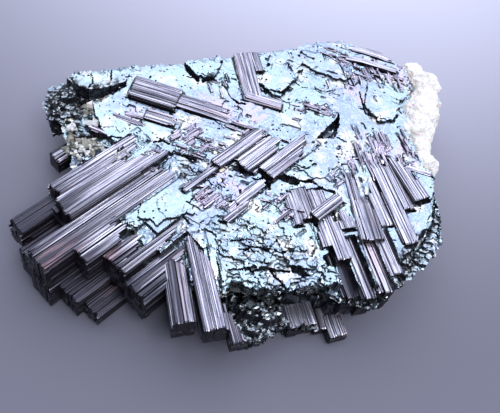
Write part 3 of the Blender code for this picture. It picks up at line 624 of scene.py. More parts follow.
def flat_relief(x, y, jx, jy):
    """Height of the upper face with its ledges, growth steps and loose-edged tiles."""
    kx, ky = jagged(x, y, 0.4, 6, 0.6)
    height = np.full(x.shape, FACE)
    height += 0.02 * np.floor(6 * waves(kx, ky, 5.0, 21)) + 0.05 * waves(x, y, 3.0, 23)
    for k, ledge in enumerate(LEDGES):
        raised = np.maximum(height, ledge.height + 0.04 * waves(jx, jy, 2.5, k))
        height = np.where(outline_distance(ledge.outline, jx, jy) < 0, raised, height)
    tile = tiles(jx, jy, 1.9, 8)
    height += 0.22 * (tile.draw - 0.5) * ease(waves(x, y, 3.4, 33), 0.05, 0.3)
    height += 0.03 * (y - tile.y) * (2 * tile.draw - 1)
    height -= 0.06 * sheen_share(x, y) * (1 - ease(tiles(x, y, 0.9, 9).border, 0.01, 0.05))
    return height


def scaly_relief(x, y, jx, jy):
    """What the scaly zones add to the height: scales in patches, and small flakes on them."""
    zone = np.max([1 - ease(outline_distance(outline, jx, jy), -0.4, 0.8)
                   for outline in SCALY_ZONES], axis=0)
    zone *= 0.3 + 0.7 * ease(waves(x, y, 1.3, 15), -0.4, 0.2)
    flake = tiles(x + 0.2 * waves(x, y, 0.4, 11), 1.15 * y, 0.6, 12)
    return zone * (0.65 * scales(x, y, 1.1, 14) + 0.35 * (flake.draw - 0.5))


def pits(x, y, size, share, seed):
    """Depth of small round pits, thicker in some places than in others."""
    pit = tiles(0.8 * x + 0.3 * y, 1.2 * y - 0.3 * x, size, seed)
    pitted = pit.draw < share + 0.2 * waves(x, y, 2.2, seed + 16)
    radius = size * (0.1 + 0.9 * pit.draw)
    return np.where(pitted, 0.25 * (1 - ease(pit.centre_distance, 0.5 * radius, radius)), 0)


def upper_relief(x, y):
    """Height of the crystal's upper face, with everything that breaks it."""
    jx, jy = jagged(x, y, 0.7, 5)
    height = flat_relief(x, y, jx, jy)
    height += scaly_relief(x, y, jx, jy)
    height -= pits(x, y, 0.4, 0.08, 17)
    height -= pits(x, y, 0.8, 0.06, 18)
    height += 0.012 * waves(x, y, 0.6, 19)
    wx, wy = warped(x, y, 0.2, 0.6, 51)
    height -= np.maximum(strokes(wx, wy, 59), needle_marks(x, y))
    opening = 0.55 + 0.5 * waves(x, y, 1.1, 57)
    for path, width, depth in CREVICES:
        reach = path_distance(path, wx, wy)
        height -= depth * (1 - ease(reach, 0.12 * width * opening, 0.5 * width * opening + 0.01))
    rough, flaky = 0.35 * waves(jx, jy, 0.9, 71), 0.7 * scales(x, y, 0.7, 73)
    for hollow in HOLLOWS:
        sunken = np.minimum(height, hollow.height + rough + flaky)
        height = np.where(outline_distance(hollow.outline, wx, wy) < 0, sunken, height)
    rim = -outline_distance(UPPER_SLAB.outline, jx, jy)
    broken = ease(waves(jx, jy, 2.2, 81), -0.5, 0.4)
    height -= broken * (0.5 * (1 - ease(rim, 0.0, 0.55))
                        - 0.5 * scales(x, y, 0.6, 83) * (1 - ease(rim, 0.3, 1.0)))
    return blade_hollows(height, x, y, FACE, FACE_GROOVE)


def rough_relief(top, steps, seed):
    """Relief of a lower face: broken tiles, with the given steps on it."""
    def relief(x, y):
        jx, jy = jagged(x, y, 0.6, seed)
        height = top + 0.35 * waves(jx, jy, 1.8, seed + 2)
        for step in steps:
            height = np.where(outline_distance(step.outline, jx, jy) < 0, step.height, height)
        height += 0.6 * scales(x, y, 0.8, seed + 4)
        return blade_hollows(height, x, y, top, LOW_GROOVE)
    return relief


# ---- building meshes

def linked(name, data):
    """A new object in the scene."""
    thing = bpy.data.objects.new(name, data)
    bpy.context.scene.collection.objects.link(thing)
    return thing


def mesh_of(bm, name):
    """The mesh of a finished bmesh, which is freed."""
    mesh = bpy.data.meshes.new(name)
    bm.to_mesh(mesh)
    bm.free()
    return mesh


def modified(mesh, kind, **settings):
    """The mesh that a modifier makes of the given one, which is removed."""
    holder = linked("holder", mesh)
    modifier = holder.modifiers.new("shaping", kind)
    for key, value in settings.items():
        setattr(modifier, key, value)
    result = bpy.data.meshes.new_from_object(holder.evaluated_get(bpy.context.evaluated_depsgraph_get()))
    bpy.data.objects.remove(holder)
    bpy.data.meshes.remove(mesh)
    return result


def place(name, mesh, material, slot, *nodes):
    """Puts a mesh in millimetres of the tables' axes in place of CAD nodes."""
    mesh.transform(Matrix.Scale(MM, 4) @ Matrix.Translation((-MIDDLE[0], -MIDDLE[1], 0.0)))
    mesh.materials.append(material)
    piece = linked(name, mesh)
    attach(piece, "root")
    if nodes:
        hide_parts(*nodes)


class Pile:
    """Closed bodies that become one mesh, with a vector and a number kept for each vertex."""

    def __init__(self):
        self.points, self.faces, self.grain, self.tone = [], [], [], []

    def add(self, points, faces, grain, tones):
        start = len(self.points)
        self.points.extend(points)
        self.faces.extend([[start + k for k in face] for face in faces])
        self.grain.extend(grain)
        self.tone.extend(tones)

    def mesh(self, name):
        mesh = bpy.data.meshes.new(name)
        mesh.from_pydata([tuple(p) for p in self.points], [], self.faces)
        grain = mesh.attributes.new("grain", "FLOAT_VECTOR", "POINT")
        grain.data.foreach_set("vector", np.array(self.grain, np.float32).ravel())
        mark(mesh, "tone", np.array(self.tone, np.float32))
        bm = bmesh.new()
        bm.from_mesh(mesh)
        bmesh.ops.recalc_face_normals(bm, faces=bm.faces)
        bm.to_mesh(mesh)
        bm.free()
        return mesh


def mark(mesh, name, values):
    """Keeps a number for each point of a mesh, for its material to read."""
    mesh.attributes.new(name, "FLOAT", "POINT").data.foreach_set("value", values)


# ---- the hematite crystal

# Heights where one layer of a wall ends and the next one begins.
LAYER_EDGES = (6.4, 6.1, 5.7, 5.3, 4.6, 4.1, 3.6, 3.2, 2.6, 2.0, 1.5, 0.9, 0.4)
LAYER_WAVE = 0.22           # how far the edge of a layer wanders up and down
LAYER_GAP = 0.02
OVERHANG = 2.4              # how far the middle step reaches in under the upper one
GRID = ((-23.0, 22.5), (-20.0, 22.5))       # the ground that the crystal's steps are made on

# A step is a slab with a ragged edge and a relief, on a grid of the given cell. Its walls lean in. A
# share of its triangles is kept, fewest where it is flat.
Step = namedtuple("Step", "slab edge relief cell seed lean share", defaults=(1,))


def kept_cells(within):
    """The grid's cells that are within on all corners, filled where two would meet at a corner only."""
    inside = within[:-1, :-1] & within[1:, :-1] & within[:-1, 1:] & within[1:, 1:]
    inside[[0, -1], :] = False
    inside[:, [0, -1]] = False
    a, b, c, d = inside[:-1, :-1], inside[1:, 1:], inside[1:, :-1], inside[:-1, 1:]
    for _ in range(3):
        falling, rising = a & b & ~c & ~d, c & d & ~a & ~b
        c |= falling
        a |= rising
    return inside


def rim_edges(inside, corner):
    """The sides that kept cells don't share with another kept cell, as pairs of point numbers."""
    i, j = np.nonzero(inside)
    rims = []
    for k, (di, dj) in enumerate(((0, -1), (1, 0), (0, 1), (-1, 0))):
        beyond = np.zeros(inside.shape, bool)
        beyond[i, j] = ~inside[i + di, j + dj]
        rims.append(np.stack([corner[k][beyond], corner[(k + 1) % 4][beyond]], axis=1))
    return np.concatenate(rims)


def wall_rows(step, x, y, z, out_x, out_y, highest):
    """Rows of points down a wall from its top row: each layer has two, set in by an uneven recess."""
    floor = step.slab.bottom
    rows, upper = [(x, y, z)], np.full(x.shape, 99.0)
    edges = [h for h in LAYER_EDGES if floor + 0.1 < h < highest] + [floor]
    for seed, edge_height in zip(range(step.seed, step.seed + 5 * len(edges), 5), edges):
        lower = edge_height + LAYER_WAVE * waves(x, y, 1.5, seed + 60) * (edge_height > floor)
        recess = 0.4 * tiles(x, y, 1.5, seed).draw + 0.12 * waves(x, y, 0.6, seed + 30) + 0.12
        recess = (recess + step.lean * (FACE - lower)) * ease(z - lower, 0.0, 0.6)
        for height in (upper, lower):
            top = np.minimum(height, rows[-1][2] - 0.004)
            rows.append((x - recess * out_x, y - recess * out_y, np.maximum(top, floor)))
        upper = lower - LAYER_GAP
    return rows


def body_of(points, faces):
    """A body of the faces' points, closed below by one fill."""
    used, faces = np.unique(faces, return_inverse=True)
    bm = bmesh.new()
    verts = [bm.verts.new(p) for p in points[used].tolist()]
    for face in faces.reshape(-1, 4).tolist():
        bm.faces.new([verts[k] for k in face])
    open_edges = [e for e in bm.edges if e.is_boundary]
    bmesh.ops.triangle_fill(bm, use_beauty=True, edges=open_edges)
    return bm


def step_mesh(step):
    """A closed body with a relief above, layered walls around and a flat underside."""
    xs, ys = (np.arange(low, high, step.cell) for low, high in GRID)
    x, y = np.meshgrid(xs, ys, indexing="ij")
    reach = step.edge(x, y)
    z = np.maximum(step.relief(x, y), step.slab.bottom + 0.05)
    within = reach < 0
    inside = kept_cells(within)
    number = np.arange(x.size).reshape(x.shape)
    corner = (number[:-1, :-1], number[1:, :-1], number[1:, 1:], number[:-1, 1:])
    rims = rim_edges(inside, corner)
    rim = np.unique(rims)

    slope_x, slope_y = np.gradient(reach, step.cell)
    length = np.maximum(np.hypot(slope_x, slope_y), 0.3)
    out_x, out_y = (slope_x / length).ravel()[rim], (slope_y / length).ravel()[rim]
    px, py, pz = x.ravel().copy(), y.ravel().copy(), z.ravel().copy()
    shift = np.clip(-reach.ravel()[rim], 0, 1.3 * step.cell)
    px[rim] += shift * out_x
    py[rim] += shift * out_y

    rows = wall_rows(step, px[rim], py[rim], pz[rim], out_x, out_y, z[within].max())
    points = [np.stack([px, py, pz], axis=1)]
    faces = [np.stack([c[inside] for c in corner], axis=1)]
    place_of = np.zeros(x.size, int)
    place_of[rim] = np.arange(rim.size)
    above = rims
    for k, row in enumerate(rows[1:]):
        points.append(np.stack(row, axis=1))
        below = place_of[rims] + x.size + k * rim.size
        faces.append(np.stack([above[:, 1], above[:, 0], below[:, 0], below[:, 1]], axis=1))
        above = below
    mesh = mesh_of(body_of(np.concatenate(points), np.concatenate(faces)), "step")
    return mesh if step.share == 1 else modified(mesh, "DECIMATE", ratio=step.share)


def ragged_edge(outline, size, seed):
    """Distance to an outline whose edge follows random tiles."""
    return lambda x, y: outline_distance(outline, *jagged(x, y, size, seed, 0.6))


def upper_edge(x, y):
    return ragged_edge(UPPER_SLAB.outline, 0.55, 91)(x, y) + 0.15 + 0.12 * waves(x, y, 0.8, 95)


def middle_edge(x, y):
    """The middle step is a band that ends well under the upper one."""
    outer = ragged_edge(MIDDLE_SLAB.outline, 0.5, 97)(x, y)
    return np.maximum(outer, -OVERHANG - outline_distance(UPPER_SLAB.outline, x, y))


def hematite_crystal():
    steps = (
        Step(UPPER_SLAB, upper_edge, upper_relief, 0.1, 100, 0.08, 0.3),
        Step(MIDDLE_SLAB, middle_edge, rough_relief(MIDDLE_SLAB.top, (), 120), 0.17, 200, 0.06),
        Step(BASE_SLAB, ragged_edge(BASE_SLAB.outline, 0.5, 98),
             rough_relief(BASE_SLAB.top, TERRACE_STEPS + PRISM_BAYS, 140), 0.26, 300, 0.05),
        Step(KNOB, ragged_edge(KNOB.outline, 0.5, 99), rough_relief(KNOB.top, (), 160), 0.15, 400, 0.05),
    )
    joined = bmesh.new()
    for step in steps:
        part = step_mesh(step)
        joined.from_mesh(part)
        bpy.data.meshes.remove(part)
    mesh = mesh_of(joined, "hematite_crystal")
    flat = np.empty(3 * len(mesh.vertices))
    mesh.vertices.foreach_get("co", flat)
    x, y, z = flat.reshape(-1, 3).T
    wx, wy = warped(x, y, 0.6, 1.2, 171)
    # Painted shade: the dark share is full in the dark zones and where the relief lies more than about 1.6
    # mm below the face.
    shares = [1 - ease(outline_distance(outline, wx, wy), -0.3, 0.2) for outline in SHADED_DARK_ZONES]
    mark(mesh, "dark", np.max([*shares, ease(FACE - z, 1.6, 2.0)], axis=0))
    # The whitish patches are painted sheen.
    mark(mesh, "pale", sheen_share(x, y))
    for direction in DIRECTIONS:
        mark(mesh, "lilac_" + direction, lilac_share(x, y, direction))
    place("hematite_crystal", mesh, hematite_look(), "hematite", "hematite_plate")


# ---- the rutile blades

TOOTH = 0.08                # about the width of a ridge along a rod
SHORTEST_ROD = 0.3
PLATEAU_WIDTHS, PLATEAU_DROP, PLATEAU_TILT = (0.3, 1.2), 0.14, 0.07
GAP_SHARE, GAP_WIDTHS, GAP_DEPTHS = 0.4, (0.05, 0.1), (0.25, 0.6)
# The tones of the boxes at a blade's ends and sides are high, which darkens them as painted shade.
END_WIDTHS, END_HEIGHTS, END_SHADE_TONES = (0.25, 0.9), (0.3, 1.1), (1.2, 1.6)
SIDE_HEIGHTS, SIDE_SHADE_TONES, SIDE_BULGE = (0.1, 0.5), (0.5, 1.4), 0.07

# A blade while it is made: its growth, its dice, and where its streaks start in the material.
Bundle = namedtuple("Bundle", "pile blade growth dice shift")
Plateau = namedtuple("Plateau", "v wide level tilt setback shade")


def sweep(bundle, profile, sections, tone, dusk=0.0):
    """A closed rod of one profile across the blade. Each section is a place along and a lowering, and
    the last argument is the length over which painted shade raises the tone towards the blade's start."""
    blade = bundle.blade
    to_tables = blade_frame(blade)
    middle_u, middle_v = sum(blade.along) / 2, sum(blade.across) / 2
    points, grain, tones = [], [], []
    for u, drop in sections:
        for v, z in profile:
            height = z - drop if z > blade.base + 0.05 else z
            points.append(to_tables @ Vector((u - middle_u, middle_v - v, height)))
            grain.append((u, v + bundle.shift, height))
            tones.append(tone + max(0.0, 1 - (u - blade.along[0]) / dusk) if dusk else tone)
    n = len(profile)
    faces = [[s + k, s + (k + 1) % n, s + n + (k + 1) % n, s + n + k]
             for s in range(0, n * (len(sections) - 1), n) for k in range(n)]
    faces += [list(range(n))[::-1], list(range(n * (len(sections) - 1), n * len(sections)))]
    bundle.pile.add(points, faces, grain, tones)


def plain_box(bundle, along, across, heights, tone):
    (low, high), (bottom, top) = across, heights
    profile = [(low, bottom), (low, top), (high, top), (high, bottom)]
    sweep(bundle, profile, [(u, 0) for u in along], tone)


def rod_profile(bundle, v, width, top, brow, lean):
    """Cross section of a rod: a ridged top between two edges."""
    dice, base = bundle.dice, bundle.blade.base
    level = top - 0.035 * dice.random() ** 2
    teeth = max(2, round(width / TOOTH))
    ridge = [(v + width * k / teeth,
              level + lean * width * (k / teeth - 0.5) + dice.uniform(-0.012, 0.012))
             for k in range(1, teeth)]
    return [(v - 0.02, base), (v + 0.005, level - brow - 0.5 * lean * width), *ridge,
            (v + width - 0.005, level + 0.5 * lean * width - dice.uniform(0.0, 0.03)),
            (v + width, base)]


def rod_sections(bundle, a, b, rounding):
    """Places along a rod with their lowering: rounded ends, and knees where the sunk parts begin."""
    blade, growth = bundle.blade, bundle.growth

    def drop_at(u):
        return blade.top - float(top_along(blade, growth, u))

    knees = [u for u in (blade.along[0] + growth.sunk[0], blade.along[1] - growth.sunk[1])
             if a + 0.2 < u < b - 0.2]
    curve = ((0.0, 1.0), (0.12, 0.0))
    head = [(a + reach, drop_at(a) + rounding[0] * fall) for reach, fall in curve]
    tail = [(b + 0.02 - reach, drop_at(b) + rounding[1] * fall) for reach, fall in curve[::-1]]
    if b - a <= 1:
        head, tail = head[:1], tail[-1:]
    return [*head, *((u, drop_at(u)) for u in sorted(knees)), *tail]


def new_plateau(bundle, v):
    """The start of a run of rods that share a level, a tilt, how far back their ends lie and a shade,
    which is a random tone plus painted shade on low blades.
    """
    blade, growth, dice = bundle.blade, bundle.growth, bundle.dice
    level = blade.top - PLATEAU_DROP * growth.uneven * dice.random() ** 1.5
    tilt = growth.uneven * dice.uniform(-PLATEAU_TILT, PLATEAU_TILT)
    wide = dice.uniform(*PLATEAU_WIDTHS)
    setback = (dice.random() ** 2, dice.random() ** 2)
    gloom = 0.0 if growth.lit else float(np.interp(blade.top, *LOW_BLADE_SHADE))
    return Plateau(v, wide, level, tilt, setback, growth.uneven * dice.random() + gloom)


def rod(bundle, plateau, v, width, sink, axis, blunt):
    """One ridged rod along the blade, in a few stretches with a step between them."""
    blade, growth, dice = bundle.blade, bundle.growth, bundle.dice
    (start, finish), (low, high) = blade.along, blade.across
    middle = v + width / 2
    flat = min((middle - low) / growth.bevel[0], (high - v - width / 2) / growth.bevel[1], 1.0)
    top = (plateau.level + plateau.tilt * (v - plateau.v) - sink
           - 0.7 * max(growth.bevel) * (1 - flat) - 0.025 * dice.random())
    tone = max(plateau.shade + growth.uneven * dice.uniform(-0.35, 0.35), 0.0)
    off_axis = abs(middle - axis) / (high - low) * 2
    insets = [growth.ragged[k] * (0.7 * plateau.setback[k] + 0.3 * dice.random() ** 2)
              + growth.point[k] * off_axis * dice.uniform(0.7, 1.0) + 0.03 * dice.random()
              for k in (0, 1)]
    first, last = start + insets[0], finish - insets[1]
    cuts = [dice.uniform(start, finish) for _ in range(int((finish - start) * dice.random() / 4))]
    stops = sorted([first, last, *(cut for cut in cuts if first + 0.4 < cut < last - 0.4)])
    brow = growth.uneven * dice.uniform(0.01, 0.035) + (0.08 if dice.random() < 0.14 else 0.0)
    lean = (0.5 if v - low < high - v else -0.5) * (1 - flat)
    if last - first < SHORTEST_ROD:
        return
    for a, b in zip(stops, stops[1:]):
        profile = rod_profile(bundle, v, width, top, brow, lean)
        rounding = [dice.uniform(0.02, 0.12) if rounded else 0.02
                    for rounded in (blunt[0] and a == first, blunt[1] and b == last)]
        sweep(bundle, profile, rod_sections(bundle, a, b, rounding), tone, growth.dusk)


def top_rods(bundle, blunt):
    """Rods side by side across the top of a blade, with a narrow gap between some of the plateaus."""
    growth, dice = bundle.growth, bundle.dice
    (low, high), (thin, thick) = bundle.blade.across, growth.widths
    axis = low + (high - low) * dice.uniform(*growth.axis)
    v, plateau_left, after_gap = low, 0.0, True
    while v < high - 0.04:
        width, sink = min(thin + (thick - thin) * dice.random() ** 1.7, high - v), 0.0
        if plateau_left <= 0:
            plateau = new_plateau(bundle, v)
            plateau_left = plateau.wide
            if not after_gap and dice.random() < GAP_SHARE:
                width, sink = min(dice.uniform(*GAP_WIDTHS), high - v), dice.uniform(*GAP_DEPTHS)
        after_gap = sink > 0
        plateau_left -= width
        rod(bundle, plateau, v, width, sink, axis, blunt)
        v += width


def end_boxes(bundle, end):
    """Uneven boxes that close a blunt end of a blade, up to some way below its top, darkened by their
    tone as painted shade.
    """
    blade, growth, dice = bundle.blade, bundle.growth, bundle.dice
    v, high = blade.across
    inward = (1, -1)[end]
    while v < high - 0.05:
        width = min(dice.uniform(*END_WIDTHS), high - v)
        crown = blade.base + (blade.top - blade.base) * dice.uniform(0.3, 0.75)
        z = blade.base
        while z < crown - 0.1:
            tall = min(dice.uniform(*END_HEIGHTS), crown - z)
            reach = blade.along[end] + inward * (0.6 * growth.ragged[end] * dice.random() - 0.04)
            along = sorted((blade.along[end] + inward * 0.8, reach))
            plain_box(bundle, along, (v, v + width), (z, z + tall), dice.uniform(*END_SHADE_TONES))
            z += tall
        v += width


def side_boxes(bundle):
    """Uneven layers along both sides of a blade, darkened by their tone as painted shade."""
    blade, growth, dice = bundle.blade, bundle.growth, bundle.dice
    (start, finish), (low, high) = blade.along, blade.across
    bulge = min(SIDE_BULGE, 0.05 * (high - low))
    for side, sign in ((low, -1), (high, 1)):
        z = blade.base
        while z < blade.top - 0.3:
            tall = min(dice.uniform(*SIDE_HEIGHTS), blade.top - 0.22 - max(growth.bevel) * 0.4 - z)
            if tall < 0.03:
                break
            across = sorted((side - sign * 0.1, side + sign * dice.uniform(0.0, bulge)))
            along = (start + growth.sunk[0] + growth.point[0] + 0.8 * dice.random() ** 2,
                     finish - growth.sunk[1] - growth.point[1] - 0.8 * dice.random() ** 2)
            if along[1] - along[0] > 0.4:
                plain_box(bundle, along, across, (z, z + tall), dice.uniform(*SIDE_SHADE_TONES))
            z += tall


def rutile_piece(name, growths, seed, look, *nodes):
    """The blades of some growths, each a bundle of rods, as one piece."""
    pile = Pile()
    for number, growth in enumerate(growths):
        blunt = [sunk == 0 and ragged < 0.5 for sunk, ragged in zip(growth.sunk, growth.ragged)]
        for row, blade in enumerate(growth.blades):
            dice = random.Random(1000 * seed + 100 * number + row)
            bundle = Bundle(pile, blade, growth, dice, 40.0 * dice.random())
            top_rods(bundle, blunt)
            for end in (0, 1):
                if blunt[end]:
                    end_boxes(bundle, end)
            side_boxes(bundle)
    place(name, pile.mesh(name), look, "rutile", *nodes)


# ---- lumps and grains

def lumpy(name, table, look, slot, *nodes):
    """Rounded lumps grown together, with an uneven crystalline surface."""
    bm = bmesh.new()
    for lump in table:
        at = Matrix.Translation((lump.x, lump.y, lump.z)) @ Matrix.Diagonal((1, 1, LUMP_FLATNESS, 1))
        bmesh.ops.create_icosphere(bm, subdivisions=4, radius=lump.radius, matrix=at)
    mesh = modified(mesh_of(bm, name), "REMESH", mode="VOXEL", voxel_size=LUMP_GRAIN)
    moved = []
    for vert in mesh.vertices:
        p = vert.co
        hump = solid_noise.noise(p * 0.9) * 0.9
        crumb = solid_noise.voronoi(p * 1.6)[0][0] - 0.35
        fine = solid_noise.fractal(p * 4.0, 0.8, 2.0, 3)
        moved.append(p + vert.normal * LUMP_RELIEF * (hump + 0.9 * crumb + 0.28 * fine - 0.8))
    mesh.vertices.foreach_set("co", [number for point in moved for number in point])
    mesh.update()
    place(name, mesh, look, slot, *nodes)


def crumb_corners(dice, centre, size):
    """The corners of an angular crumb."""
    corners = []
    stretch = Vector((dice.uniform(0.7, 1.3), dice.uniform(0.7, 1.3), dice.uniform(0.6, 0.9)))
    for _ in range(CRUMB_CORNERS):
        way = Vector((dice.gauss(0, 1), dice.gauss(0, 1), dice.gauss(0, 1))).normalized()
        corners.append(centre + size * dice.uniform(0.8, 1.0) * (way * stretch))
    return corners


def crumbs(name, table, seed, look, slot, *nodes):
    """Angular crumbs packed round the places of a table."""
    dice = random.Random(seed)
    bm = bmesh.new()
    layer = bm.verts.layers.float.new("tone")
    for patch in table:
        for _ in range(patch.count):
            centre = Vector((dice.gauss(patch.x, patch.spread / 2), dice.gauss(patch.y, patch.spread / 2),
                             patch.z + 0.25 * dice.uniform(-1, 1)))
            size, tone = dice.uniform(*patch.sizes), dice.uniform(*patch.tones)
            corners = [bm.verts.new(point) for point in crumb_corners(dice, centre, size)]
            hull = bmesh.ops.convex_hull(bm, input=corners)
            loose = {*hull["geom_interior"], *hull["geom_unused"]}
            bmesh.ops.delete(bm, geom=list(loose), context="VERTS")
            for vert in corners:
                if vert.is_valid:
                    vert[layer] = tone
    bmesh.ops.recalc_face_normals(bm, faces=bm.faces)
    place(name, mesh_of(bm, name), look, slot, *nodes)


# ---- materials

class Look:
    """The nodes of a material or of the world, added and joined by short calls."""

    def __init__(self, owner, shader="Principled BSDF"):
        owner.use_nodes = True
        self.owner, self.tree = owner, owner.node_tree
        self.shader = self.tree.nodes[shader]

    def feed(self, socket, value):
        if isinstance(value, bpy.types.NodeSocket):
            self.tree.links.new(value, socket)
        else:
            socket.default_value = value

    def set(self, **values):
        """Feeds the shader's own inputs."""
        for key, value in values.items():
            self.feed(self.shader.inputs[key.replace("_", " ")], value)

    def node(self, kind, inputs=None, output=0, **settings):
        """Adds a node with its settings and inputs, and gives one of its outputs."""
        made = self.tree.nodes.new("ShaderNode" + kind)
        for key, value in settings.items():
            setattr(made, key, value)
        for socket, value in (inputs or {}).items():
            self.feed(made.inputs[socket], value)
        return made.outputs[output]

    def math(self, operation, a, b):
        return self.node("Math", {0: a, 1: b}, operation=operation)

    def mix(self, share, a, b):
        return self.node("Mix", {0: share, 6: a, 7: b}, 2, data_type="RGBA")

    def range(self, value, low, high, to_low=0.0, to_high=1.0, curve="SMOOTHSTEP"):
        inputs = dict(enumerate((value, low, high, to_low, to_high)))
        return self.node("MapRange", inputs, interpolation_type=curve)

    def noise(self, vector, scale, detail=3.0, roughness=0.5):
        inputs = {"Vector": vector, "Scale": scale, "Detail": detail, "Roughness": roughness}
        return self.node("TexNoise", inputs)

    def millimetres(self):
        """Object coordinates in millimetres."""
        metres = self.node("TexCoord", output="Object")
        return self.node("VectorMath", {0: metres, "Scale": 1 / MM}, operation="SCALE")

    def stretched(self, vector, scale, heading=0.0):
        """The vector turned back by a heading about Z, then scaled."""
        inputs = {"Vector": vector, "Rotation": (0.0, 0.0, math.radians(heading)),
                  "Scale": tuple(1 / part for part in scale)}
        return self.node("Mapping", inputs, vector_type="TEXTURE")

    def upward(self):
        """How much the surface faces up: 1 on the crystal's face, 0 on a wall."""
        return self.node("SeparateXYZ", {0: self.node("NewGeometry", output="True Normal")}, 2)

    def attribute(self, name, output="Fac"):
        return self.node("Attribute", None, output, attribute_name=name)

    def bump(self, height, distance, strength):
        inputs = {"Height": height, "Distance": distance, "Strength": strength}
        self.set(Normal=self.node("Bump", inputs))


def hematite_look():
    """Iridescent blue to green with whitish patches of painted sheen and lilac patches, near black painted
    shade in recesses and on the walls, and painted glints.
    """
    look = Look(bpy.data.materials.new("hematite"))
    spot = look.millimetres()
    broad = look.noise(spot, 0.16, 2.0)
    medium = look.noise(spot, 0.5, 4.0, 0.6)
    fine = look.noise(spot, 5.0, 3.0, 0.6)
    speck = look.noise(spot, 2.2, 3.0, 0.7)
    colour = look.mix(look.range(broad, 0.4, 0.6), (0.30, 0.38, 0.56, 1), (0.36, 0.50, 0.60, 1))
    colour = look.mix(look.range(speck, 0.5, 0.64), colour, (0.42, 0.56, 0.66, 1))
    colour = look.mix(look.range(speck, 0.34, 0.44, 0.7, 0.0), colour, (0.60, 0.58, 0.56, 1))
    # Whitish patches of painted sheen.
    pale = look.math("ADD", look.math("MULTIPLY", look.attribute("pale"), 0.16), medium)
    colour = look.mix(look.range(pale, 0.5, 0.74), colour, (0.66, 0.67, 0.68, 1))
    colour = look.mix(look.range(fine, 0.58, 0.72), colour, (0.15, 0.19, 0.25, 1))
    for direction, heading in DIRECTIONS.items():
        streak = look.noise(look.stretched(spot, (0.3, 4.0, 0.3), heading), 1.0, 3.0, 0.6)
        share = look.math("MULTIPLY", look.range(streak, 0.44, 0.54), look.attribute("lilac_" + direction))
        colour = look.mix(share, colour, (0.50, 0.44, 0.62, 1))
    # Painted shade with painted glints: the dark share turns the face near black, with glints in patches.
    glint = look.range(look.noise(spot, 2.0, 4.0, 0.65), 0.475, 0.57)
    dark = look.mix(glint, (0.02, 0.02, 0.025, 1), (0.36, 0.42, 0.48, 1))
    colour = look.mix(look.attribute("dark"), colour, dark)
    # Painted shade: walls turn near black, with painted glints in patches of a wall.
    up = look.upward()
    wall_glint = look.range(look.noise(spot, 1.1, 3.0, 0.6), 0.55, 0.62)
    wall = look.mix(wall_glint, (0.012, 0.013, 0.02, 1), (0.13, 0.16, 0.2, 1))
    shine = look.math("MAXIMUM", look.range(up, 0.3, 0.85, 0.0, 0.95), look.math("MULTIPLY", wall_glint, 0.8))
    look.set(Base_Color=look.mix(look.range(up, 0.42, 0.85), wall, colour), Metallic=shine,
             Roughness=look.range(medium, 0.3, 0.7, 0.22, 0.38), Specular_IOR_Level=0.35)
    look.bump(look.noise(spot, 7.0, 4.0, 0.6), 0.00003, 0.6)
    return look.owner


def rutile_look(name, bright):
    """Striated along the blade, with dark lines and reddish threads, darker where its tone is high, partly
    as painted shade, and near black on its sides as painted shade.
    """
    look = Look(bpy.data.materials.new(name))
    grain = look.attribute("grain", "Vector")
    streak = look.noise(look.stretched(grain, (0.22, 7.0, 3.0)), 1.0, 4.0, 0.65)
    flush = look.noise(look.stretched(grain, (0.12, 0.9, 0.9)), 1.0, 2.0)
    line = look.noise(look.stretched(grain, (0.1, 13.0, 2.0)), 1.0, 2.0, 0.5)
    thread = look.range(look.noise(look.stretched(grain, (0.1, 6.0, 2.0)), 1.0, 3.0), 0.42, 0.6)
    reddish = look.math("MULTIPLY", look.range(flush, 0.56, 0.74, 0.0, 0.55), thread)
    # The tone is partly random and partly painted shade: on low blades, towards their starts, on ends and
    # sides.
    gloom = look.range(look.attribute("tone"), 0.3, 1.5, 0.0, 0.97)
    colour = look.mix(look.range(streak, 0.3, 0.7), (0.12, 0.13, 0.21, 1), bright)
    colour = look.mix(look.range(line, 0.56, 0.62, 0.0, 0.7), colour, (0.07, 0.07, 0.11, 1))
    colour = look.mix(gloom, colour, (0.042, 0.042, 0.062, 1))
    colour = look.mix(reddish, colour, (0.50, 0.32, 0.38, 1))
    # Painted shade: faces that don't face up turn near black.
    up = look.upward()
    colour = look.mix(look.range(up, 0.35, 0.85), (0.014, 0.012, 0.018, 1), colour)
    look.set(Base_Color=colour, Metallic=look.range(up, 0.2, 0.8, 0.1, 0.9),
             Roughness=look.range(streak, 0.3, 0.7, 0.38, 0.26), Specular_IOR_Level=0.15)
    look.bump(streak, 0.00004, 0.5)
    return look.owner


def crumb_look(name, middling, light):
    """Crumbs from dark or clear over a middling colour to a light one, by their tone."""
    look = Look(bpy.data.materials.new(name))
    tone = look.attribute("tone")
    colour = look.mix(look.range(tone, 0.0, 0.6), (0.05, 0.047, 0.045, 1), middling)
    colour = look.mix(look.range(tone, 0.6, 0.9), colour, light)
    look.set(Base_Color=colour, Roughness=0.3, Specular_IOR_Level=0.6)
    return look.owner


def feldspar_look():
    """Milky white, a little clouded and translucent."""
    look = Look(bpy.data.materials.new("white_feldspar"))
    spot = look.millimetres()
    cloud = look.range(look.noise(spot, 1.2, 4.0, 0.6), 0.35, 0.65)
    look.set(Base_Color=look.mix(cloud, (0.72, 0.71, 0.73, 1), (0.86, 0.86, 0.87, 1)),
             Roughness=0.6, Subsurface_Weight=0.25, Subsurface_Scale=0.0006)
    look.bump(look.noise(spot, 2.4, 4.0, 0.55), 0.00006, 0.7)
    return look.owner


# ---- floor, light, camera and pieces

def add_light(name, size, power, location, target, colour):
    light = bpy.data.lights.new(name, "AREA")
    light.shape = "RECTANGLE"
    light.size, light.size_y = size
    light.energy = power
    light.color = colour
    lamp = linked(name, light)
    lamp.location = location
    lamp.rotation_euler = (Vector(target) - Vector(location)).to_track_quat("-Z", "Y").to_euler()


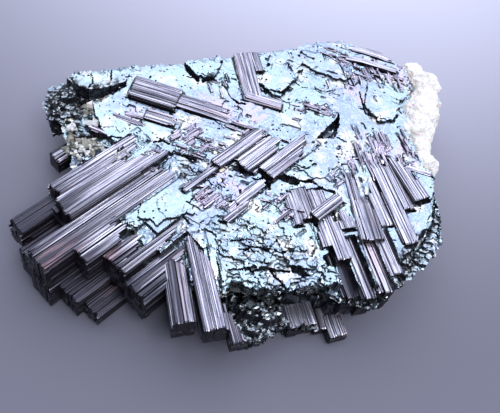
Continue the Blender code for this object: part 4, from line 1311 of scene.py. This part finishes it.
def ground():
    """A plain floor with a painted pool of light: pale behind the specimen and greyer away from there."""
    bm = bmesh.new()
    bmesh.ops.create_grid(bm, x_segments=2, y_segments=2, size=1.5)
    mesh = mesh_of(bm, "floor")
    look = Look(bpy.data.materials.new("floor"))
    inputs = {0: look.millimetres(), 1: (-6.0, 75.0, 0.0)}
    away = look.node("VectorMath", inputs, "Value", operation="DISTANCE")
    # Painted pool of light: the floor's colour fades from pale to grey with distance from a point behind
    # the specimen.
    shade = look.range(away, 15.0, 95.0)
    look.set(Base_Color=look.mix(shade, (0.66, 0.68, 0.88, 1), (0.135, 0.14, 0.20, 1)), Roughness=0.7)
    mesh.materials.append(look.owner)
    floor = linked("floor", mesh)


def studio():
    """Two softboxes and a sky that is brighter towards the back."""
    sky = Look(bpy.data.worlds.new("studio"), "Background")
    way = sky.node("SeparateXYZ", {0: sky.node("TexCoord", output="Generated")}, "Y")
    sky.set(Color=(0.55, 0.58, 0.72, 1), Strength=sky.range(way, -0.7, 0.8, 0.26, 0.85, "LINEAR"))
    bpy.context.scene.world = sky.owner
    bpy.context.scene.view_settings.view_transform = "Standard"
    add_light("far_softbox", (0.7, 0.5), 1.85, (-0.01, 0.2, 0.36), (0, 0, 0.007), (0.96, 0.97, 1.0))
    add_light("front_softbox", (0.25, 0.25), 1.3, (0.14, -0.16, 0.4), (0, 0, 0.005), (1.0, 0.98, 0.96))


def camera():
    """Looks down on the specimen from the front, rolled a little as the specimen was held."""
    elevation, roll, distance, lens = math.radians(55.5), math.radians(17.0), 62.5, 46.8
    right, up = Vector((1, 0, 0)), Vector((0, math.sin(elevation), math.cos(elevation)))
    back = Vector((0, -math.cos(elevation), math.sin(elevation)))
    right, up = (math.cos(roll) * right + math.sin(roll) * up,
                 -math.sin(roll) * right + math.cos(roll) * up)
    aim = Vector((1.5 - MIDDLE[0], -6.0 - MIDDLE[1], 7.0))
    data = bpy.data.cameras.new("camera")
    data.lens = lens
    data.clip_start = 0.001
    eye = linked("camera", data)
    turned = Matrix((right, up, back)).transposed().to_4x4()
    eye.matrix_world = Matrix.Translation((aim + distance * back) * MM) @ turned
    bpy.context.scene.camera = eye


def blades_of_rutile():
    plain = rutile_look("rutile", (0.80, 0.81, 0.98, 1))
    shaded = rutile_look("shaded_rutile", (0.66, 0.66, 0.81, 1))
    needle = rutile_look("needle_rutile", (0.74, 0.69, 0.88, 1))
    right = (CUT_BUNDLE, RIGHT_SHEAF, TOP_RIGHT_BLADE, LOWER_RIGHT_SHEAF, CROSS_BLADE, PINK_BLADE)
    pieces = (
        ("left_sheaf", (LEFT_SHEAF, MAIN_BLADE, LOWER_LEFT_SHEAF), plain, "rutile_left_sheaf"),
        ("centre_bars", (CENTRE_BARS, LAST_BAR), plain, "rutile_centre_bars"),
        ("low_bars", (LOW_BARS,), plain, "rutile_low_bars"),
        ("right_sheaf", right, plain, "rutile_right_sheaf"),
        ("front_fan", (FRONT_FAN, PINK_FAN), shaded, "rutile_front_fan"),
        ("upper_blades", (UPPER_BLADES, FADING_BLADE), shaded, "rutile_upper_blades"),
        ("second_blade", (SECOND_BLADE,), plain, "rutile_second_blade"),
        ("elbow", (ELBOW,), shaded, "rutile_elbow"),
        ("far_blade", (FAR_BLADE,), plain, "rutile_far_blade"),
        ("rim_blade", (RIM_BLADE,), plain, "rutile_rim_blade"),
        ("stub", (STUB,), plain, "rutile_stub"),
        ("front_prisms", (FRONT_WALL,), plain, "rutile_front_wall"),
        ("slivers", (SLIVERS, NEEDLES), needle),
    )
    for seed, (name, growths, look, *nodes) in enumerate(pieces, 1):
        rutile_piece(name, growths, seed, look, *nodes)


def pale_minerals():
    lumpy("feldspar", FELDSPAR, feldspar_look(), "white_feldspar", "feldspar_lump")
    clear = crumb_look("pocket_quartz", (0.235, 0.235, 0.21, 1), (0.66, 0.69, 0.73, 1))
    pink = crumb_look("pink_feldspar", (0.50, 0.46, 0.47, 1), (0.82, 0.77, 0.79, 1))
    cream = crumb_look("cream_feldspar", (0.52, 0.46, 0.36, 1), (0.88, 0.84, 0.72, 1))
    crumbs("pocket_crust", POCKET_CRUMBS, 31, clear, "pocket_quartz", "quartz_pocket")
    crumbs("pink_white_grain", PALE_GRAIN, 32, pink, "white_feldspar", "pale_grain")
    crumbs("cream_edge_grain", CREAM_GRAIN, 33, cream, "cream_feldspar", "cream_grain")
    crumbs("middle_grain", CENTRE_GRAIN, 34, cream, "cream_feldspar", "centre_grain")


ground()
studio()
camera()
hematite_crystal()
blades_of_rutile()
pale_minerals()
